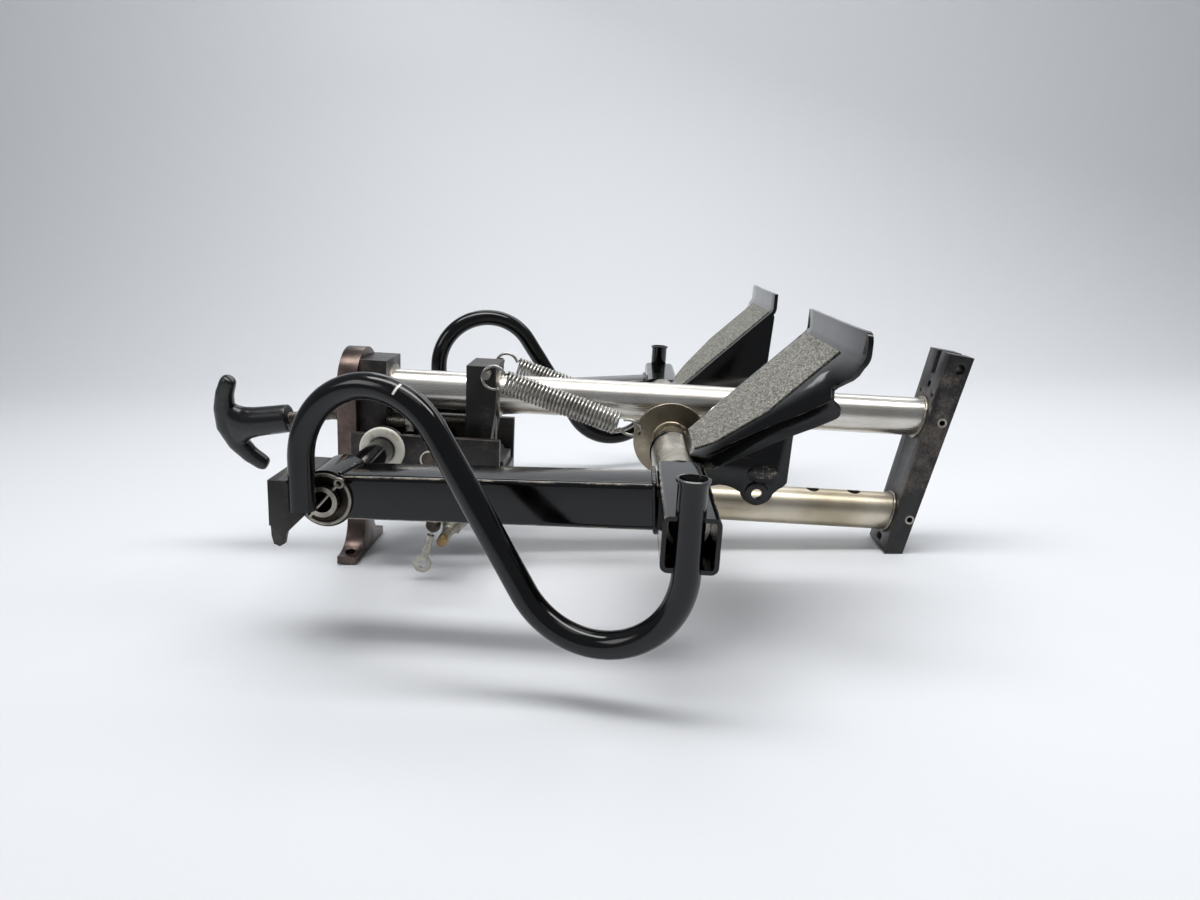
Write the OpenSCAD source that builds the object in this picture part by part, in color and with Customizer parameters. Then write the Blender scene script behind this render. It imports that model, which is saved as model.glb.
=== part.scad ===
// Adjustable aircraft rudder pedals: a sled with two swinging pedals on two slide tubes.
// X runs forward along the tubes, Z up, and Y across, with the left pedal on +Y.

/* [Slide tubes] */
// outside diameter of both slide tubes
tube_d = 25; // [22:0.5:30]
// wall of both slide tubes
tube_wall = 2.5; // [1.5:0.1:4]
// height of the upper tube's axis above the foot
upper_z = 114; // [105:0.5:125]
// height of the lower tube's axis above the foot
lower_z = 48.6; // [44:0.2:52]
// rear end of the upper tube
upper_rear_x = 12; // [10:0.5:14]
// rear end of the lower tube
lower_rear_x = 79; // [78.5:0.5:80.5]
// spacing of the lock holes along the lower tube
hole_pitch = 27.3; // [22:0.1:32]
// diameter of the lock holes
lock_hole_d = 8.6; // [8.4:0.1:10]
// number of lock holes
lock_hole_count = 10; // [7:1:10]

/* [Front bracket] */
// width of the bracket across the tubes
bracket_w = 36; // [32:1:44]
// rear lower corner of the bracket along X
bracket_x = 353.4; // [345:0.5:365]
// underside of the bracket
bracket_bottom_z = 25.3; // [15:0.5:28]
// top of the bracket
bracket_top_z = 158; // [145:0.5:165]
// thickness at the underside
bracket_foot_t = 12; // [10:0.5:16]
// thickness at the top
bracket_head_t = 15.5; // [12:0.5:20]
// forward lean from underside to top
bracket_lean = 23.6; // [10:0.2:30]
// depth of the tube sockets in the bracket
socket_depth = 6; // [4:0.5:8]
// diameter of the bolt hole across the bracket's head
head_hole_d = 6.6; // [5:0.1:8]

/* [End plate] */
// thickness of the end plate
plate_t = 12.3; // [8:0.1:13]
// radius of the round head about the upper tube
head_r = 26; // [23:0.5:30]
// half width of the plate's waist above the feet
stem_half = 9.7; // [8:0.1:14]
// half length of the feet across Y
foot_half = 32.4; // [28:0.2:40]
// thickness of the feet
foot_t = 5; // [4:0.2:8]
// distance of each foot bolt hole from the middle
foot_hole_y = 24; // [18:0.5:28]
// diameter of the foot bolt holes
foot_hole_d = 6.6; // [5:0.1:8]

/* [Sled] */
// width of the rear block and of the spring post
upright_w = 36; // [33:0.5:40]
// top of the rear block and of the spring post
upright_top_z = 134; // [130:0.5:140]
// thickness of the rear block along X
block_t = 17.3; // [14:0.1:20]
// rear face of the spring post
post_x = 75; // [70:0.5:80]
// thickness of the spring post along X
post_t = 19; // [14:0.5:20]
// outer face of each side plate
side_y = 37.5; // [34:0.5:42]
// thickness of each side plate
side_t = 5; // [3:0.5:8]
// upper edge of each side plate
side_top_z = 90.5; // [88:0.5:94]
// radial play of the slides
slide_play = 0.05; // [0.02:0.01:0.1]

/* [Pedal pivot] */
// pivot axis along X
pivot_x = 26.4; // [25:0.2:30]
// pivot axis height
pivot_z = 81.2; // [78:0.2:82]
// diameter of the pivot shaft
shaft_d = 16; // [12:0.5:16.5]
// bore of the pivot shaft
shaft_bore = 11; // [6:0.5:12]
// half length of the pivot shaft
shaft_half = 149.5; // [147:0.5:150]
// radial play of the pivots
pivot_play = 0.05; // [0.02:0.01:0.1]

/* [Pedal arms] */
// height of the arm's box section
arm_h = 24; // [18:0.5:26]
// width of the arm's box section
arm_w = 28; // [20:0.5:32]
// wall of the box sections
box_wall = 2; // [1.2:0.1:3]
// outward splay of the arm in degrees
arm_splay = 8.8; // [4:0.2:12]
// upward pitch of the arm in degrees
arm_pitch = 4.4; // [2:0.2:8]
// middle of the arm inboard of the hub's outer end
arm_inset = 16; // [15:0.5:20]
// radius of the hub
hub_r = 15; // [13:0.5:16]
// shaft beyond the hub, for the washer and the split pin
shaft_over = 6.5; // [6:0.1:8]
// length of the hub
hub_len = 33; // [24:0.5:36]

/* [Cable guide tubes] */
// outside diameter of the S-shaped tube
guide_d = 13; // [10:0.2:14]
// wall of the S-shaped tube
guide_wall = 1.5; // [1:0.1:2.5]
// bend radius of the S-shaped tube
guide_bend_r = 41; // [36:0.5:46]
// distance between the two legs of the S along its plane
guide_span = 196; // [180:1:204]
// splay of the S-shaped tube's plane in degrees
guide_splay = 18; // [14:0.2:20]
// rear leg along X
guide_x = 19.8; // [18:0.2:21]
// rear leg outboard of the hub
guide_off = 14.5; // [14:0.2:19]
// height of the rear leg's cut end
guide_end_z = 79.5; // [76:0.5:84]
// height of the rear bend's centre
rear_bend_z = 105; // [98:0.5:112]
// height of the front bend's centre
front_bend_z = 82; // [76:0.5:90]
// height of the open rim at the front
rim_z = 124; // [116:0.5:130]

/* [Cross tube and brake axle] */
// brake axle along X
axle_x = 207; // [204:0.2:210]
// brake axle height
axle_z = 95.6; // [92:0.2:99]
// outside of the square cross tube
cross_w = 25; // [24:0.5:26]
// inner end of the cross tube across Y
cross_in_y = 130; // [126:0.5:134]
// cross tube beyond the middle of the S-shaped tube
cross_over = 3; // [2:0.5:9]
// outside diameter of the brake axle
axle_d = 20.8; // [16:0.1:20.9]
// bore of the brake axle
axle_bore = 16.8; // [12:0.1:17]
// inner end of the brake axle across Y
axle_in_y = 27; // [24:0.5:30]
// outer end of the brake axle inside the cross tube
axle_out_y = 196; // [180:0.5:200]
// diameter of the spring disc
disc_d = 47; // [40:0.5:52]
// thickness of the spring disc
disc_t = 2.5; // [1.5:0.1:4]
// distance of the spring hole from the axle
disc_hole_r = 19.6; // [16:0.2:20]
// diameter of the spring hole
disc_hole_d = 4.6; // [4:0.1:6]

/* [Foot plates] */
// sheet thickness of the foot plates
sheet_t = 2.5; // [1.5:0.1:3]
// slope of the foot plate in degrees
plate_slope = 44; // [38:0.5:50]
// lower edge of the tape along X from the axle
plate_from_x = 8; // [6:0.2:12]
// lower edge of the tape above the axle
plate_from_z = 15.7; // [14:0.2:20]
// length of the sloping face above the tape's lower edge
plate_len = 88; // [80:0.5:96]
// inner edge of the foot plate across Y
plate_in_y = 60.5; // [56:0.5:64]
// outer corner of the toe lip across Y
plate_out_y = 181; // [165:0.5:190]
// height of the toe lip
lip_h = 12; // [8:0.5:18]
// depth of the outer flange
flange_h = 12; // [6:0.5:16]
// thickness of the grip tape
tape_t = 0.8; // [0.4:0.1:1.5]
// outside diameter of the hinge sleeve
sleeve_d = 26; // [24:0.5:27]
// diameter of the brake rod hole in the lug
lug_hole_d = 6.2; // [5:0.1:8]

/* [Springs] */
// outside diameter of the tension springs
spring_d = 15.2; // [11:0.2:16]
// wire of the tension springs
spring_wire = 1.8; // [1.2:0.1:2.4]
// number of coils
spring_coils = 33; // [20:1:40]

/* [Pull handle and lock] */
// height of the pull rod
rod_z = 93.8; // [93.6:0.1:94]
// diameter of the pull rod
rod_d = 8; // [6:0.5:8.2]
// droop of the handle in degrees
droop = 9.5; // [0:0.5:12]
// rear end of the level part of the rod
rod_bend_x = -18; // [-24:0.5:-17]
// length of the T-grip across its tips
grip_len = 70; // [56:1:76]
// thickness of the T-grip
grip_d = 13; // [10:0.5:15]
// turn of the T-grip about the rod in degrees
grip_turn = 17; // [0:1:30]
// diameter of the lock pin
lock_pin_d = 8; // [6:0.1:8.2]
// travel of the pull handle and of the lock pin
lock_travel = 8; // [6:0.5:8]

/* [Hidden] */
$fn = 48;
eps = 0.01;
weld_gap = 0.02;
tuck = 0.1;
through = 400;
tube_r = tube_d / 2;
front_face_slope = bracket_lean / (bracket_top_z - bracket_bottom_z);
lock_x = lower_rear_x + 8.7;
plate_half = plate_t / 2;
block_x = plate_half + 0.05;
block_front_x = block_x + block_t;
block_bottom_z = 70;
block_bar_t = 11;
block_bar_z = block_bottom_z - 12;
block_screw_x = block_x + block_bar_t / 2;
block_screw_z = block_bar_z + 6;
post_front_x = post_x + post_t;
bush_wall = 2;
bush_r = tube_r + slide_play + bush_wall;
bush_flange_r = bush_r + 1.2;
bush_flange_t = 1.5;
slider_half = upright_w / 2;
slider_rear_x = 30;
slider_front_x = post_front_x + 8;
slider_bottom_z = lower_z - 17;
slider_top_z = lower_z + 17.4;
post_seat_z = slider_top_z + 6;
cross_bar_h = 14;
side_in_y = side_y - side_t;
side_rear_x = block_x;
side_front_x = post_front_x + 6;
side_bottom_z = lower_z - 4.6;
side_lug_z = lower_z - 13;
ear_r = 14;
shaft_r = shaft_d / 2;
pivot_bush_r = shaft_r + 1.5;
pivot_flange_r = 14.4;
pivot_flange_t = 3;
plug_x = 55.8;
plug_z = 76;
hub_out_y = shaft_half - shaft_over;
hub_mid_y = hub_out_y - arm_inset;
washer_t = 1.6;
pin_wire_r = 1;
pin_turn = 40;
pin_y = hub_out_y + washer_t + 2.6;
stem_top_z = 62;
stem_low_z = 24;
screw_r = 2.5;
screw_head_r = 4.2;
screw_head_h = 3.4;
fitting_x = 77;
fitting_z = lower_z - 3.6;
fitting_out_y = 100;
stud_x = 63.6;
stud_z = lower_z - 7.9;
stud_out_y = 62;
cam_pin_r = 2;
cam_slot_r = cam_pin_r + 0.3;
cam_half_t = 2;
cam_gap = 0.4;
cam_rear_x = lock_x - lock_travel - cam_slot_r - 2.7;
cam_front_x = lock_x + cam_slot_r + 2.5;
cam_low_z = rod_z - lock_travel - cam_slot_r - 2.5;
cam_top_z = rod_z + rod_d / 2 - 0.4;
lock_top_z = rod_z + 3.8;
lock_tip_z = lower_z + tube_r - 5 + lock_travel;
guide_r = guide_d / 2;
guide_y = hub_out_y + guide_off;
guide_gap = sqrt(pow(guide_span - 2 * guide_bend_r, 2) + pow(rear_bend_z - front_bend_z, 2));
guide_lean = asin(2 * guide_bend_r / guide_gap)
  + atan((rear_bend_z - front_bend_z) / (guide_span - 2 * guide_bend_r));
guide_run = sqrt(pow(guide_gap, 2) - pow(2 * guide_bend_r, 2));
guide_sweep = 90 + guide_lean;
rim_h = 2.4;
rim_flare = 1.1;
joint_step = 0.1;
joint_half = 0.8;
joint_gap = 0.2;
guide_front_x = guide_x + guide_span * cos(guide_splay);
guide_front_y = guide_y + guide_span * sin(guide_splay);
cross_half = cross_w / 2;
cross_out_y = guide_front_y + cross_over;
cross_rear_x = axle_x - cross_half;
sleeve_in_y = plate_in_y + sheet_t;
plate_drop = plate_from_z * cos(plate_slope) - plate_from_x * sin(plate_slope) - sheet_t;
plate_low = sqrt(pow(sleeve_d / 2 + tuck, 2) - pow(plate_drop, 2))
  - plate_from_x * cos(plate_slope) - plate_from_z * sin(plate_slope);
lip_x = axle_x + plate_from_x + plate_len * cos(plate_slope);
lip_z = axle_z + plate_from_z + plate_len * sin(plate_slope);
disc_y = axle_in_y + 1;
spring_y = disc_y + disc_t / 2;
post_hook_x = post_front_x - 4;
post_hook_z = upright_top_z - 3.6;
disc_hook_angle = 167;
disc_hook_x = axle_x + disc_hole_r * cos(disc_hook_angle);
disc_hook_z = axle_z + disc_hole_r * sin(disc_hook_angle);
spring_rise = disc_hook_z - post_hook_z;
spring_reach = disc_hook_x - post_hook_x;
spring_len = sqrt(pow(spring_rise, 2) + pow(spring_reach, 2));
spring_pitch_angle = atan(spring_rise / spring_reach);
spring_mean_r = (spring_d - spring_wire) / 2;
hook_r = 8.2;
hook_bar_r = 1.6;
hook_shift = hook_r - spring_wire - hook_bar_r - 0.3;
coil_from = hook_shift + hook_r - spring_wire + tuck;
coil_len = spring_len - 2 * hook_r + 1.5 * spring_wire - tuck - coil_from;
coil_pitch = coil_len / spring_coils;
stop_y = 13;
stop_z = rod_z - 0.3;
grip_bend_r = 51;
grip_sweep = 2 * asin((grip_len / 2 - 2) / grip_bend_r);
grip_mid = 76;
handle_front = 29;
paint_black = [0.07, 0.07, 0.08];
bare_metal = [0.75, 0.75, 0.74];
dark_plastic = [0.1, 0.1, 0.1];
white_plastic = [0.9, 0.88, 0.82];
brown_anodised = [0.36, 0.3, 0.28];

module along_x(x, y, z) {
  translate([x, y, z]) rotate([0, 90, 0]) children();
}

module along_y(x, y, z) {
  translate([x, y, z]) rotate([-90, 0, 0]) children();
}

// draws a flat X-Z outline as a plate between two Y values
module wall_y(from_y, to_y) {
  translate([0, to_y, 0]) rotate([90, 0, 0]) linear_extrude(height = to_y - from_y) children();
}

// turns the left-hand piece into its right-hand twin
module right_side() {
  mirror([0, 1, 0]) children();
}

module both_sides() {
  children();
  mirror([0, 1, 0]) children();
}

function bracket_face_x(z) = bracket_x + (z - bracket_bottom_z) * front_face_slope;

module slide_tube(rear_x, z) {
  len = bracket_face_x(z) + socket_depth - rear_x;
  along_x(rear_x, 0, z) difference() {
    cylinder(r = tube_r, h = len);
    translate([0, 0, -eps]) cylinder(r = tube_r - tube_wall, h = len + 2 * eps);
  }
}

module upper_tube() {
  color(bare_metal) slide_tube(upper_rear_x, upper_z);
}

module lower_tube() {
  color(bare_metal) difference() {
    slide_tube(lower_rear_x, lower_z);
    for (i = [0 : lock_hole_count - 1])
      translate([lock_x + i * hole_pitch, 0, lower_z]) cylinder(d = lock_hole_d, h = tube_d);
  }
}

module bracket_outline() {
  polygon([
    [bracket_x, bracket_bottom_z],
    [bracket_x + bracket_foot_t, bracket_bottom_z],
    [bracket_x + bracket_lean + bracket_head_t, bracket_top_z - 2],
    [bracket_x + bracket_lean, bracket_top_z]
  ]);
}

module bracket_insert_bores(r, depth) {
  for (z = [upper_z, lower_z])
    for (turn = [0, 180])
      translate([bracket_face_x(z) + socket_depth + 3.4, 0, z])
        rotate([0, 0, turn]) along_y(0, bracket_w / 2 - depth, 0) cylinder(r = r, h = depth);
}

module front_bracket() {
  color(paint_black) difference() {
    wall_y(-bracket_w / 2, bracket_w / 2) bracket_outline();
    for (z = [upper_z, lower_z])
      along_x(bracket_face_x(z) - socket_depth, 0, z)
        cylinder(r = tube_r + weld_gap, h = 2 * socket_depth);
    bracket_insert_bores(3 + weld_gap, 8);
    along_y(bracket_face_x(bracket_top_z) + 7.6, -through / 2, bracket_top_z - 9.6)
      cylinder(d = head_hole_d, h = through);
    translate([bracket_x, -3.5, bracket_top_z - 15]) cube([through, 7, 20]);
    along_x(bracket_x, 0, bracket_top_z - 22) cylinder(d = 5, h = through);
    for (y = [-11, 11])
      along_x(bracket_x, y, bracket_top_z - 28) cylinder(d = 3.2, h = through);
    for (y = [-2, 2])
      along_x(bracket_x - through / 2, y, bracket_bottom_z + 5.5) cylinder(d = 5, h = through);
  }
}

module bracket_screws() {
  color(bare_metal) difference() {
    bracket_insert_bores(3, 8);
    bracket_insert_bores(1.8, 9);
  }
}

// each round runs a little past the straight it meets, so that the two cross
module end_plate_outline() {
  waist_r = head_r - stem_half;
  flare_r = stem_low_z - foot_t;
  waist_z = stem_top_z - waist_r;
  difference() {
    union() {
      translate([0, upper_z]) circle(r = head_r);
      translate([tuck - head_r, stem_low_z]) square([2 * (head_r - tuck), upper_z - stem_low_z]);
      translate([-foot_half, 0]) square([2 * foot_half, stem_low_z + tuck]);
    }
    for (side = [-1, 1]) {
      translate([side * head_r, waist_z]) circle(r = waist_r + tuck);
      translate([side * (stem_half + through / 2), (stem_low_z + waist_z) / 2])
        square([through, waist_z - stem_low_z], center = true);
      translate([side * (stem_half + flare_r), stem_low_z]) circle(r = flare_r + tuck);
      translate([side * (stem_half + flare_r + through / 2), foot_t + flare_r])
        square([through, 2 * flare_r], center = true);
    }
  }
}

module plate_screw_spots() {
  for (spot = [[-14.5, upper_z + 15.5], [14.5, upper_z + 15.5],
      [-13, block_bottom_z + 7], [13, block_bottom_z + 7]])
    along_x(-plate_half, spot[0], spot[1]) children();
}

module plate_screw(play) {
  cylinder(r = screw_head_r + play, h = screw_head_h + play);
  cylinder(r = screw_r + play, h = plate_t + 8);
}

module end_plate() {
  color(brown_anodised) difference() {
    rotate([90, 0, 90]) linear_extrude(height = plate_t, center = true) end_plate_outline();
    along_x(-plate_t, 0, upper_z) cylinder(r = tube_r + 0.6, h = 2 * plate_t);
    along_x(-plate_t, 0, rod_z) cylinder(r = rod_d / 2 + 1, h = 2 * plate_t);
    plate_screw_spots() plate_screw(weld_gap);
    both_sides() translate([0, foot_hole_y, -eps]) cylinder(d = foot_hole_d, h = 3 * foot_t);
  }
}

module plate_screws() {
  color(paint_black) plate_screw_spots() difference() {
    plate_screw(0);
    translate([0, 0, -eps]) cylinder(r = 2.3, h = 2, $fn = 6);
  }
}

module rear_block() {
  color(paint_black) difference() {
    union() {
      translate([block_x, -upright_w / 2, block_bottom_z])
        cube([block_t, upright_w, upright_top_z - block_bottom_z]);
      translate([block_x, -side_in_y + weld_gap, block_bar_z])
        cube([block_bar_t, 2 * (side_in_y - weld_gap), 26]);
    }
    along_x(0, 0, upper_z) cylinder(r = bush_r + weld_gap, h = through);
    along_x(0, 0, rod_z) cylinder(r = rod_d / 2 + 0.6, h = through);
    along_y(pivot_x, -through / 2, pivot_z) cylinder(r = shaft_r + 0.3, h = through);
    plate_screw_spots() plate_screw(weld_gap);
    both_sides() along_y(block_screw_x, side_in_y - 12, block_screw_z)
      cylinder(r = screw_r + weld_gap, h = 20);
    both_sides() along_x(block_front_x - 10, stop_y, stop_z) cylinder(r = 3 + weld_gap, h = 20);
  }
}

module slide_bush(from_x, len) {
  along_x(from_x, 0, upper_z) difference() {
    union() {
      cylinder(r = bush_r, h = len);
      translate([0, 0, len]) cylinder(r = bush_flange_r, h = bush_flange_t);
    }
    translate([0, 0, -eps]) cylinder(r = tube_r + slide_play, h = len + through / 10);
  }
}

module rear_slide_bush() {
  color(bare_metal) slide_bush(block_x, block_t + weld_gap);
}

module front_slide_bush() {
  color(bare_metal) slide_bush(post_x, post_t + weld_gap);
}

module post_outline() {
  polygon([
    [post_x, post_seat_z],
    [post_front_x + 2, post_seat_z],
    [post_front_x, post_seat_z + 3],
    [post_front_x - 4, post_seat_z + 6],
    [post_front_x, upper_z - 9],
    [post_front_x, upright_top_z],
    [post_x, upright_top_z]
  ]);
}

module spring_post() {
  color(paint_black) difference() {
    wall_y(-upright_w / 2, upright_w / 2) post_outline();
    along_x(0, 0, upper_z) cylinder(r = bush_r + weld_gap, h = through);
    along_x(0, 0, rod_z) cylinder(r = rod_d / 2 + 0.5, h = through);
    translate([0, -cam_half_t - cam_gap, cam_low_z - cam_gap])
      cube([through, 2 * (cam_half_t + cam_gap), cam_top_z - cam_low_z + 2 * cam_gap]);
    translate([lock_x, 0, 0]) cylinder(r = lock_pin_d / 2 + slide_play, h = lock_top_z + 0.5);
    both_sides() along_y(post_hook_x, upright_w / 2 - 8, post_hook_z)
      cylinder(r = hook_bar_r + weld_gap, h = 20);
  }
}

module spring_pins() {
  color(bare_metal) both_sides() {
    along_y(post_hook_x, upright_w / 2 - 8, post_hook_z)
      cylinder(r = hook_bar_r, h = spring_y - upright_w / 2 + 12);
    along_y(post_hook_x, spring_y + 2.6, post_hook_z) cylinder(r = 2.4, h = 1.4);
  }
}

module lower_slider() {
  color(paint_black) difference() {
    union() {
      translate([slider_rear_x, -slider_half, slider_bottom_z])
        cube([slider_front_x - slider_rear_x, upright_w, slider_top_z - slider_bottom_z]);
      translate([post_x - 4, -slider_half, slider_top_z - eps])
        cube([post_t + 10, upright_w, post_seat_z - slider_top_z + eps - weld_gap]);
      for (x = [34, 84])
        translate([x, -side_in_y + weld_gap, slider_top_z - cross_bar_h - 4])
          cube([14, 2 * (side_in_y - weld_gap), cross_bar_h]);
    }
    along_x(0, 0, lower_z) cylinder(r = tube_r + slide_play, h = through);
    translate([lock_x, 0, lower_z]) cylinder(r = lock_pin_d / 2 + slide_play, h = through);
    both_sides() for (x = [41, 91])
      along_y(x, side_in_y - 12, slider_top_z - cross_bar_h / 2 - 4)
        cylinder(r = screw_r + weld_gap, h = 20);
  }
}

module side_screw_spots() {
  for (spot = [[41, slider_top_z - cross_bar_h / 2 - 4], [91, slider_top_z - cross_bar_h / 2 - 4],
      [block_screw_x, block_screw_z]])
    translate([spot[0], 0, spot[1]]) children();
}

module side_plate() {
  difference() {
    wall_y(side_in_y, side_y) {
      translate([side_rear_x, side_bottom_z])
        square([side_front_x - side_rear_x, side_top_z - side_bottom_z]);
      translate([stud_x - 7, side_lug_z])
        square([fitting_x - stud_x + 18, side_bottom_z - side_lug_z + eps]);
      translate([pivot_x, pivot_z]) circle(r = ear_r);
    }
    along_y(pivot_x, 0, pivot_z) cylinder(r = pivot_bush_r + weld_gap, h = through);
    along_y(plug_x, 0, plug_z) cylinder(r = 4 + weld_gap, h = through);
    side_screw_spots() along_y(0, 0, 0) cylinder(r = screw_r + weld_gap, h = through);
  }
}

module side_plate_left() {
  color(paint_black) side_plate();
}

module side_plate_right() {
  color(paint_black) right_side() difference() {
    side_plate();
    along_y(fitting_x, 0, fitting_z) cylinder(r = 5 + weld_gap, h = through);
    along_y(stud_x, 0, stud_z) cylinder(r = 2.5 + weld_gap, h = through);
  }
}

module side_screws() {
  color(paint_black) both_sides() side_screw_spots() difference() {
    union() {
      along_y(0, side_in_y - 11, 0) cylinder(r = screw_r, h = 11 + side_t);
      along_y(0, side_y, 0) cylinder(r = screw_head_r, h = screw_head_h);
    }
    along_y(0, side_y + 1.6, 0) cylinder(r = 2.3, h = 4, $fn = 6);
  }
}

module pin_frame() {
  translate([pivot_x, pin_y, pivot_z]) rotate([0, pin_turn, 0]) children();
}

module pivot_shaft() {
  color(paint_black) difference() {
    along_y(pivot_x, -shaft_half, pivot_z) cylinder(r = shaft_r, h = 2 * shaft_half);
    along_y(pivot_x, -through / 2, pivot_z) cylinder(d = shaft_bore, h = through);
    both_sides() pin_frame() translate([0, 0, -20]) cylinder(r = pin_wire_r + weld_gap, h = 40);
  }
}

module pivot_bush() {
  difference() {
    union() {
      along_y(pivot_x, side_in_y, pivot_z) cylinder(r = pivot_bush_r, h = side_t + eps);
      along_y(pivot_x, side_y, pivot_z) cylinder(r = pivot_flange_r, h = pivot_flange_t);
    }
    along_y(pivot_x, 0, pivot_z) cylinder(r = shaft_r + weld_gap, h = through);
  }
}

module pivot_bush_left() {
  color(white_plastic) pivot_bush();
}

module pivot_bush_right() {
  color(white_plastic) right_side() pivot_bush();
}

module side_plugs() {
  color(white_plastic) both_sides() difference() {
    union() {
      along_y(plug_x, side_in_y, plug_z) cylinder(r = 4, h = side_t + eps);
      along_y(plug_x, side_y, plug_z) cylinder(r = 5.7, h = 1.2);
    }
    along_y(plug_x, side_y - 2, plug_z) cylinder(r = 3, h = 10);
  }
}

module hub_washers() {
  color(bare_metal) both_sides() difference() {
    along_y(pivot_x, hub_out_y + 0.3, pivot_z) cylinder(r = 13.8, h = washer_t);
    along_y(pivot_x, 0, pivot_z) cylinder(r = shaft_r + weld_gap, h = through);
  }
}

module split_pins() {
  color(bare_metal) both_sides() pin_frame() {
    translate([0, 0, -11]) cylinder(r = pin_wire_r, h = 22);
    translate([0, 0, 13]) rotate([90, 0, 0]) rotate_extrude()
      translate([2, 0]) circle(r = pin_wire_r, $fn = 24);
  }
}

module side_fitting() {
  color(bare_metal) right_side() {
    along_y(fitting_x, side_in_y, fitting_z) cylinder(r = 5, h = side_t + eps);
    along_y(fitting_x, side_y, fitting_z) cylinder(r = 8, h = 18);
    along_y(fitting_x, side_y + 18 - eps, fitting_z) cylinder(r = 7.2, h = 12, $fn = 6);
    along_y(fitting_x, side_y + 30 - 2 * eps, fitting_z) cylinder(r1 = 6, r2 = 3.4, h = 14);
    along_y(fitting_x, side_y + 44 - 3 * eps, fitting_z) cylinder(r = 3, h = fitting_out_y - side_y - 44);
  }
}

module tag_stud() {
  color(brown_anodised) right_side() {
    along_y(stud_x, side_in_y, stud_z) cylinder(r = 2.5, h = stud_out_y - side_in_y);
    along_y(stud_x, stud_out_y - 1.2, stud_z) cylinder(r1 = 4.6, r2 = 3, h = 2.6);
  }
}

module bonding_tag() {
  tag_y = stud_out_y - 5;
  color(bare_metal) right_side() {
    difference() {
      along_y(stud_x, tag_y - 1, stud_z) cylinder(r = 4.2, h = 2);
      along_y(stud_x, 0, stud_z) cylinder(r = 2.5 + weld_gap, h = through);
    }
    translate([stud_x, tag_y, stud_z]) rotate([0, 196, 0]) {
      translate([0, 0, 4 - eps]) cylinder(r = 0.9, h = 5);
      translate([0, 0, 8]) cylinder(r = 2.3, h = 10);
      translate([-2.4, -0.6, 17]) cube([4.8, 1.2, 6]);
      translate([0, 0.6, 28]) rotate([90, 0, 0]) difference() {
        cylinder(r = 5.8, h = 1.2);
        translate([0, 0, -eps]) cylinder(r = 2.5, h = 2);
      }
    }
  }
}

module stop_screws() {
  color(paint_black) both_sides() along_x(block_front_x - 10, stop_y, stop_z) cylinder(r = 3, h = 28);
}

module stop_nuts() {
  color(bare_metal) both_sides() difference() {
    along_x(pivot_x + shaft_r + 1.4, stop_y, stop_z) rotate([0, 0, 30])
      cylinder(r = 5.8, h = 5, $fn = 6);
    along_x(0, stop_y, stop_z) cylinder(r = 3 + weld_gap, h = through);
  }
}

module droop_frame() {
  translate([rod_bend_x, 0, rod_z]) rotate([0, -droop, 0]) children();
}

module cam_slot() {
  side = cam_slot_r - 0.05;
  translate([lock_x, rod_z]) {
    circle(r = cam_slot_r);
    rotate([0, 0, -135]) translate([0, -side]) square([lock_travel * sqrt(2), 2 * side]);
    translate([-lock_travel, -lock_travel]) circle(r = cam_slot_r);
  }
}

module pull_rod() {
  color(paint_black) {
    along_x(rod_bend_x, 0, rod_z) cylinder(d = rod_d, h = cam_rear_x + 1.5 - rod_bend_x);
    droop_frame() along_x(-handle_front - 14, 0, 0) cylinder(d = rod_d, h = handle_front + 16);
    wall_y(-cam_half_t, cam_half_t) difference() {
      translate([cam_rear_x, cam_low_z]) square([cam_front_x - cam_rear_x, cam_top_z - cam_low_z]);
      cam_slot();
    }
  }
}

module t_handle() {
  color(dark_plastic) droop_frame() difference() {
    union() {
      along_x(-handle_front - 24, 0, 0) cylinder(r1 = 9.6, r2 = 8.2, h = 24);
      along_x(-grip_mid, 0, 0) cylinder(r = 9.6, h = grip_mid - handle_front - 24 + eps);
      rotate([grip_turn, 0, 0]) translate([grip_bend_r - grip_mid, 0, 0]) rotate([90, 0, 0])
        rotate([0, 0, 180 - grip_sweep / 2]) rotate_extrude(angle = grip_sweep)
          translate([grip_bend_r, 0]) circle(d = grip_d);
    }
    along_x(-handle_front - 14 - weld_gap, 0, 0) cylinder(r = rod_d / 2 + weld_gap, h = 40);
  }
}

module lock_pin() {
  color(bare_metal) difference() {
    translate([lock_x, 0, lock_tip_z]) cylinder(d = lock_pin_d, h = lock_top_z - lock_tip_z);
    translate([lock_x - lock_pin_d, -cam_half_t - cam_gap, cam_low_z - 1])
      cube([2 * lock_pin_d, 2 * (cam_half_t + cam_gap), through]);
    along_y(lock_x, -through / 2, rod_z) cylinder(r = cam_pin_r + weld_gap, h = through);
  }
}

module cross_pin() {
  color(bare_metal) along_y(lock_x, 0.7 - lock_pin_d / 2, rod_z)
    cylinder(r = cam_pin_r, h = lock_pin_d - 1.4);
}

module arm_frame() {
  translate([pivot_x, hub_mid_y, pivot_z]) rotate([0, -arm_pitch, 0]) rotate([0, 0, arm_splay]) children();
}

module arm() {
  color(paint_black) difference() {
    arm_frame() difference() {
      translate([0, -arm_w / 2, -arm_h / 2]) cube([axle_x, arm_w, arm_h]);
      translate([-eps, -arm_w / 2 + box_wall, -arm_h / 2 + box_wall])
        cube([2 * axle_x, arm_w - 2 * box_wall, arm_h - 2 * box_wall]);
    }
    along_y(pivot_x, 0, pivot_z) cylinder(r = hub_r + weld_gap, h = through);
    translate([cross_rear_x - weld_gap, 0, 0]) cube(through);
  }
}

module hub() {
  color(paint_black) difference() {
    along_y(pivot_x, hub_out_y - hub_len, pivot_z) cylinder(r = hub_r, h = hub_len);
    along_y(pivot_x, 0, pivot_z) cylinder(r = shaft_r + pivot_play, h = through);
  }
}

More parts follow.
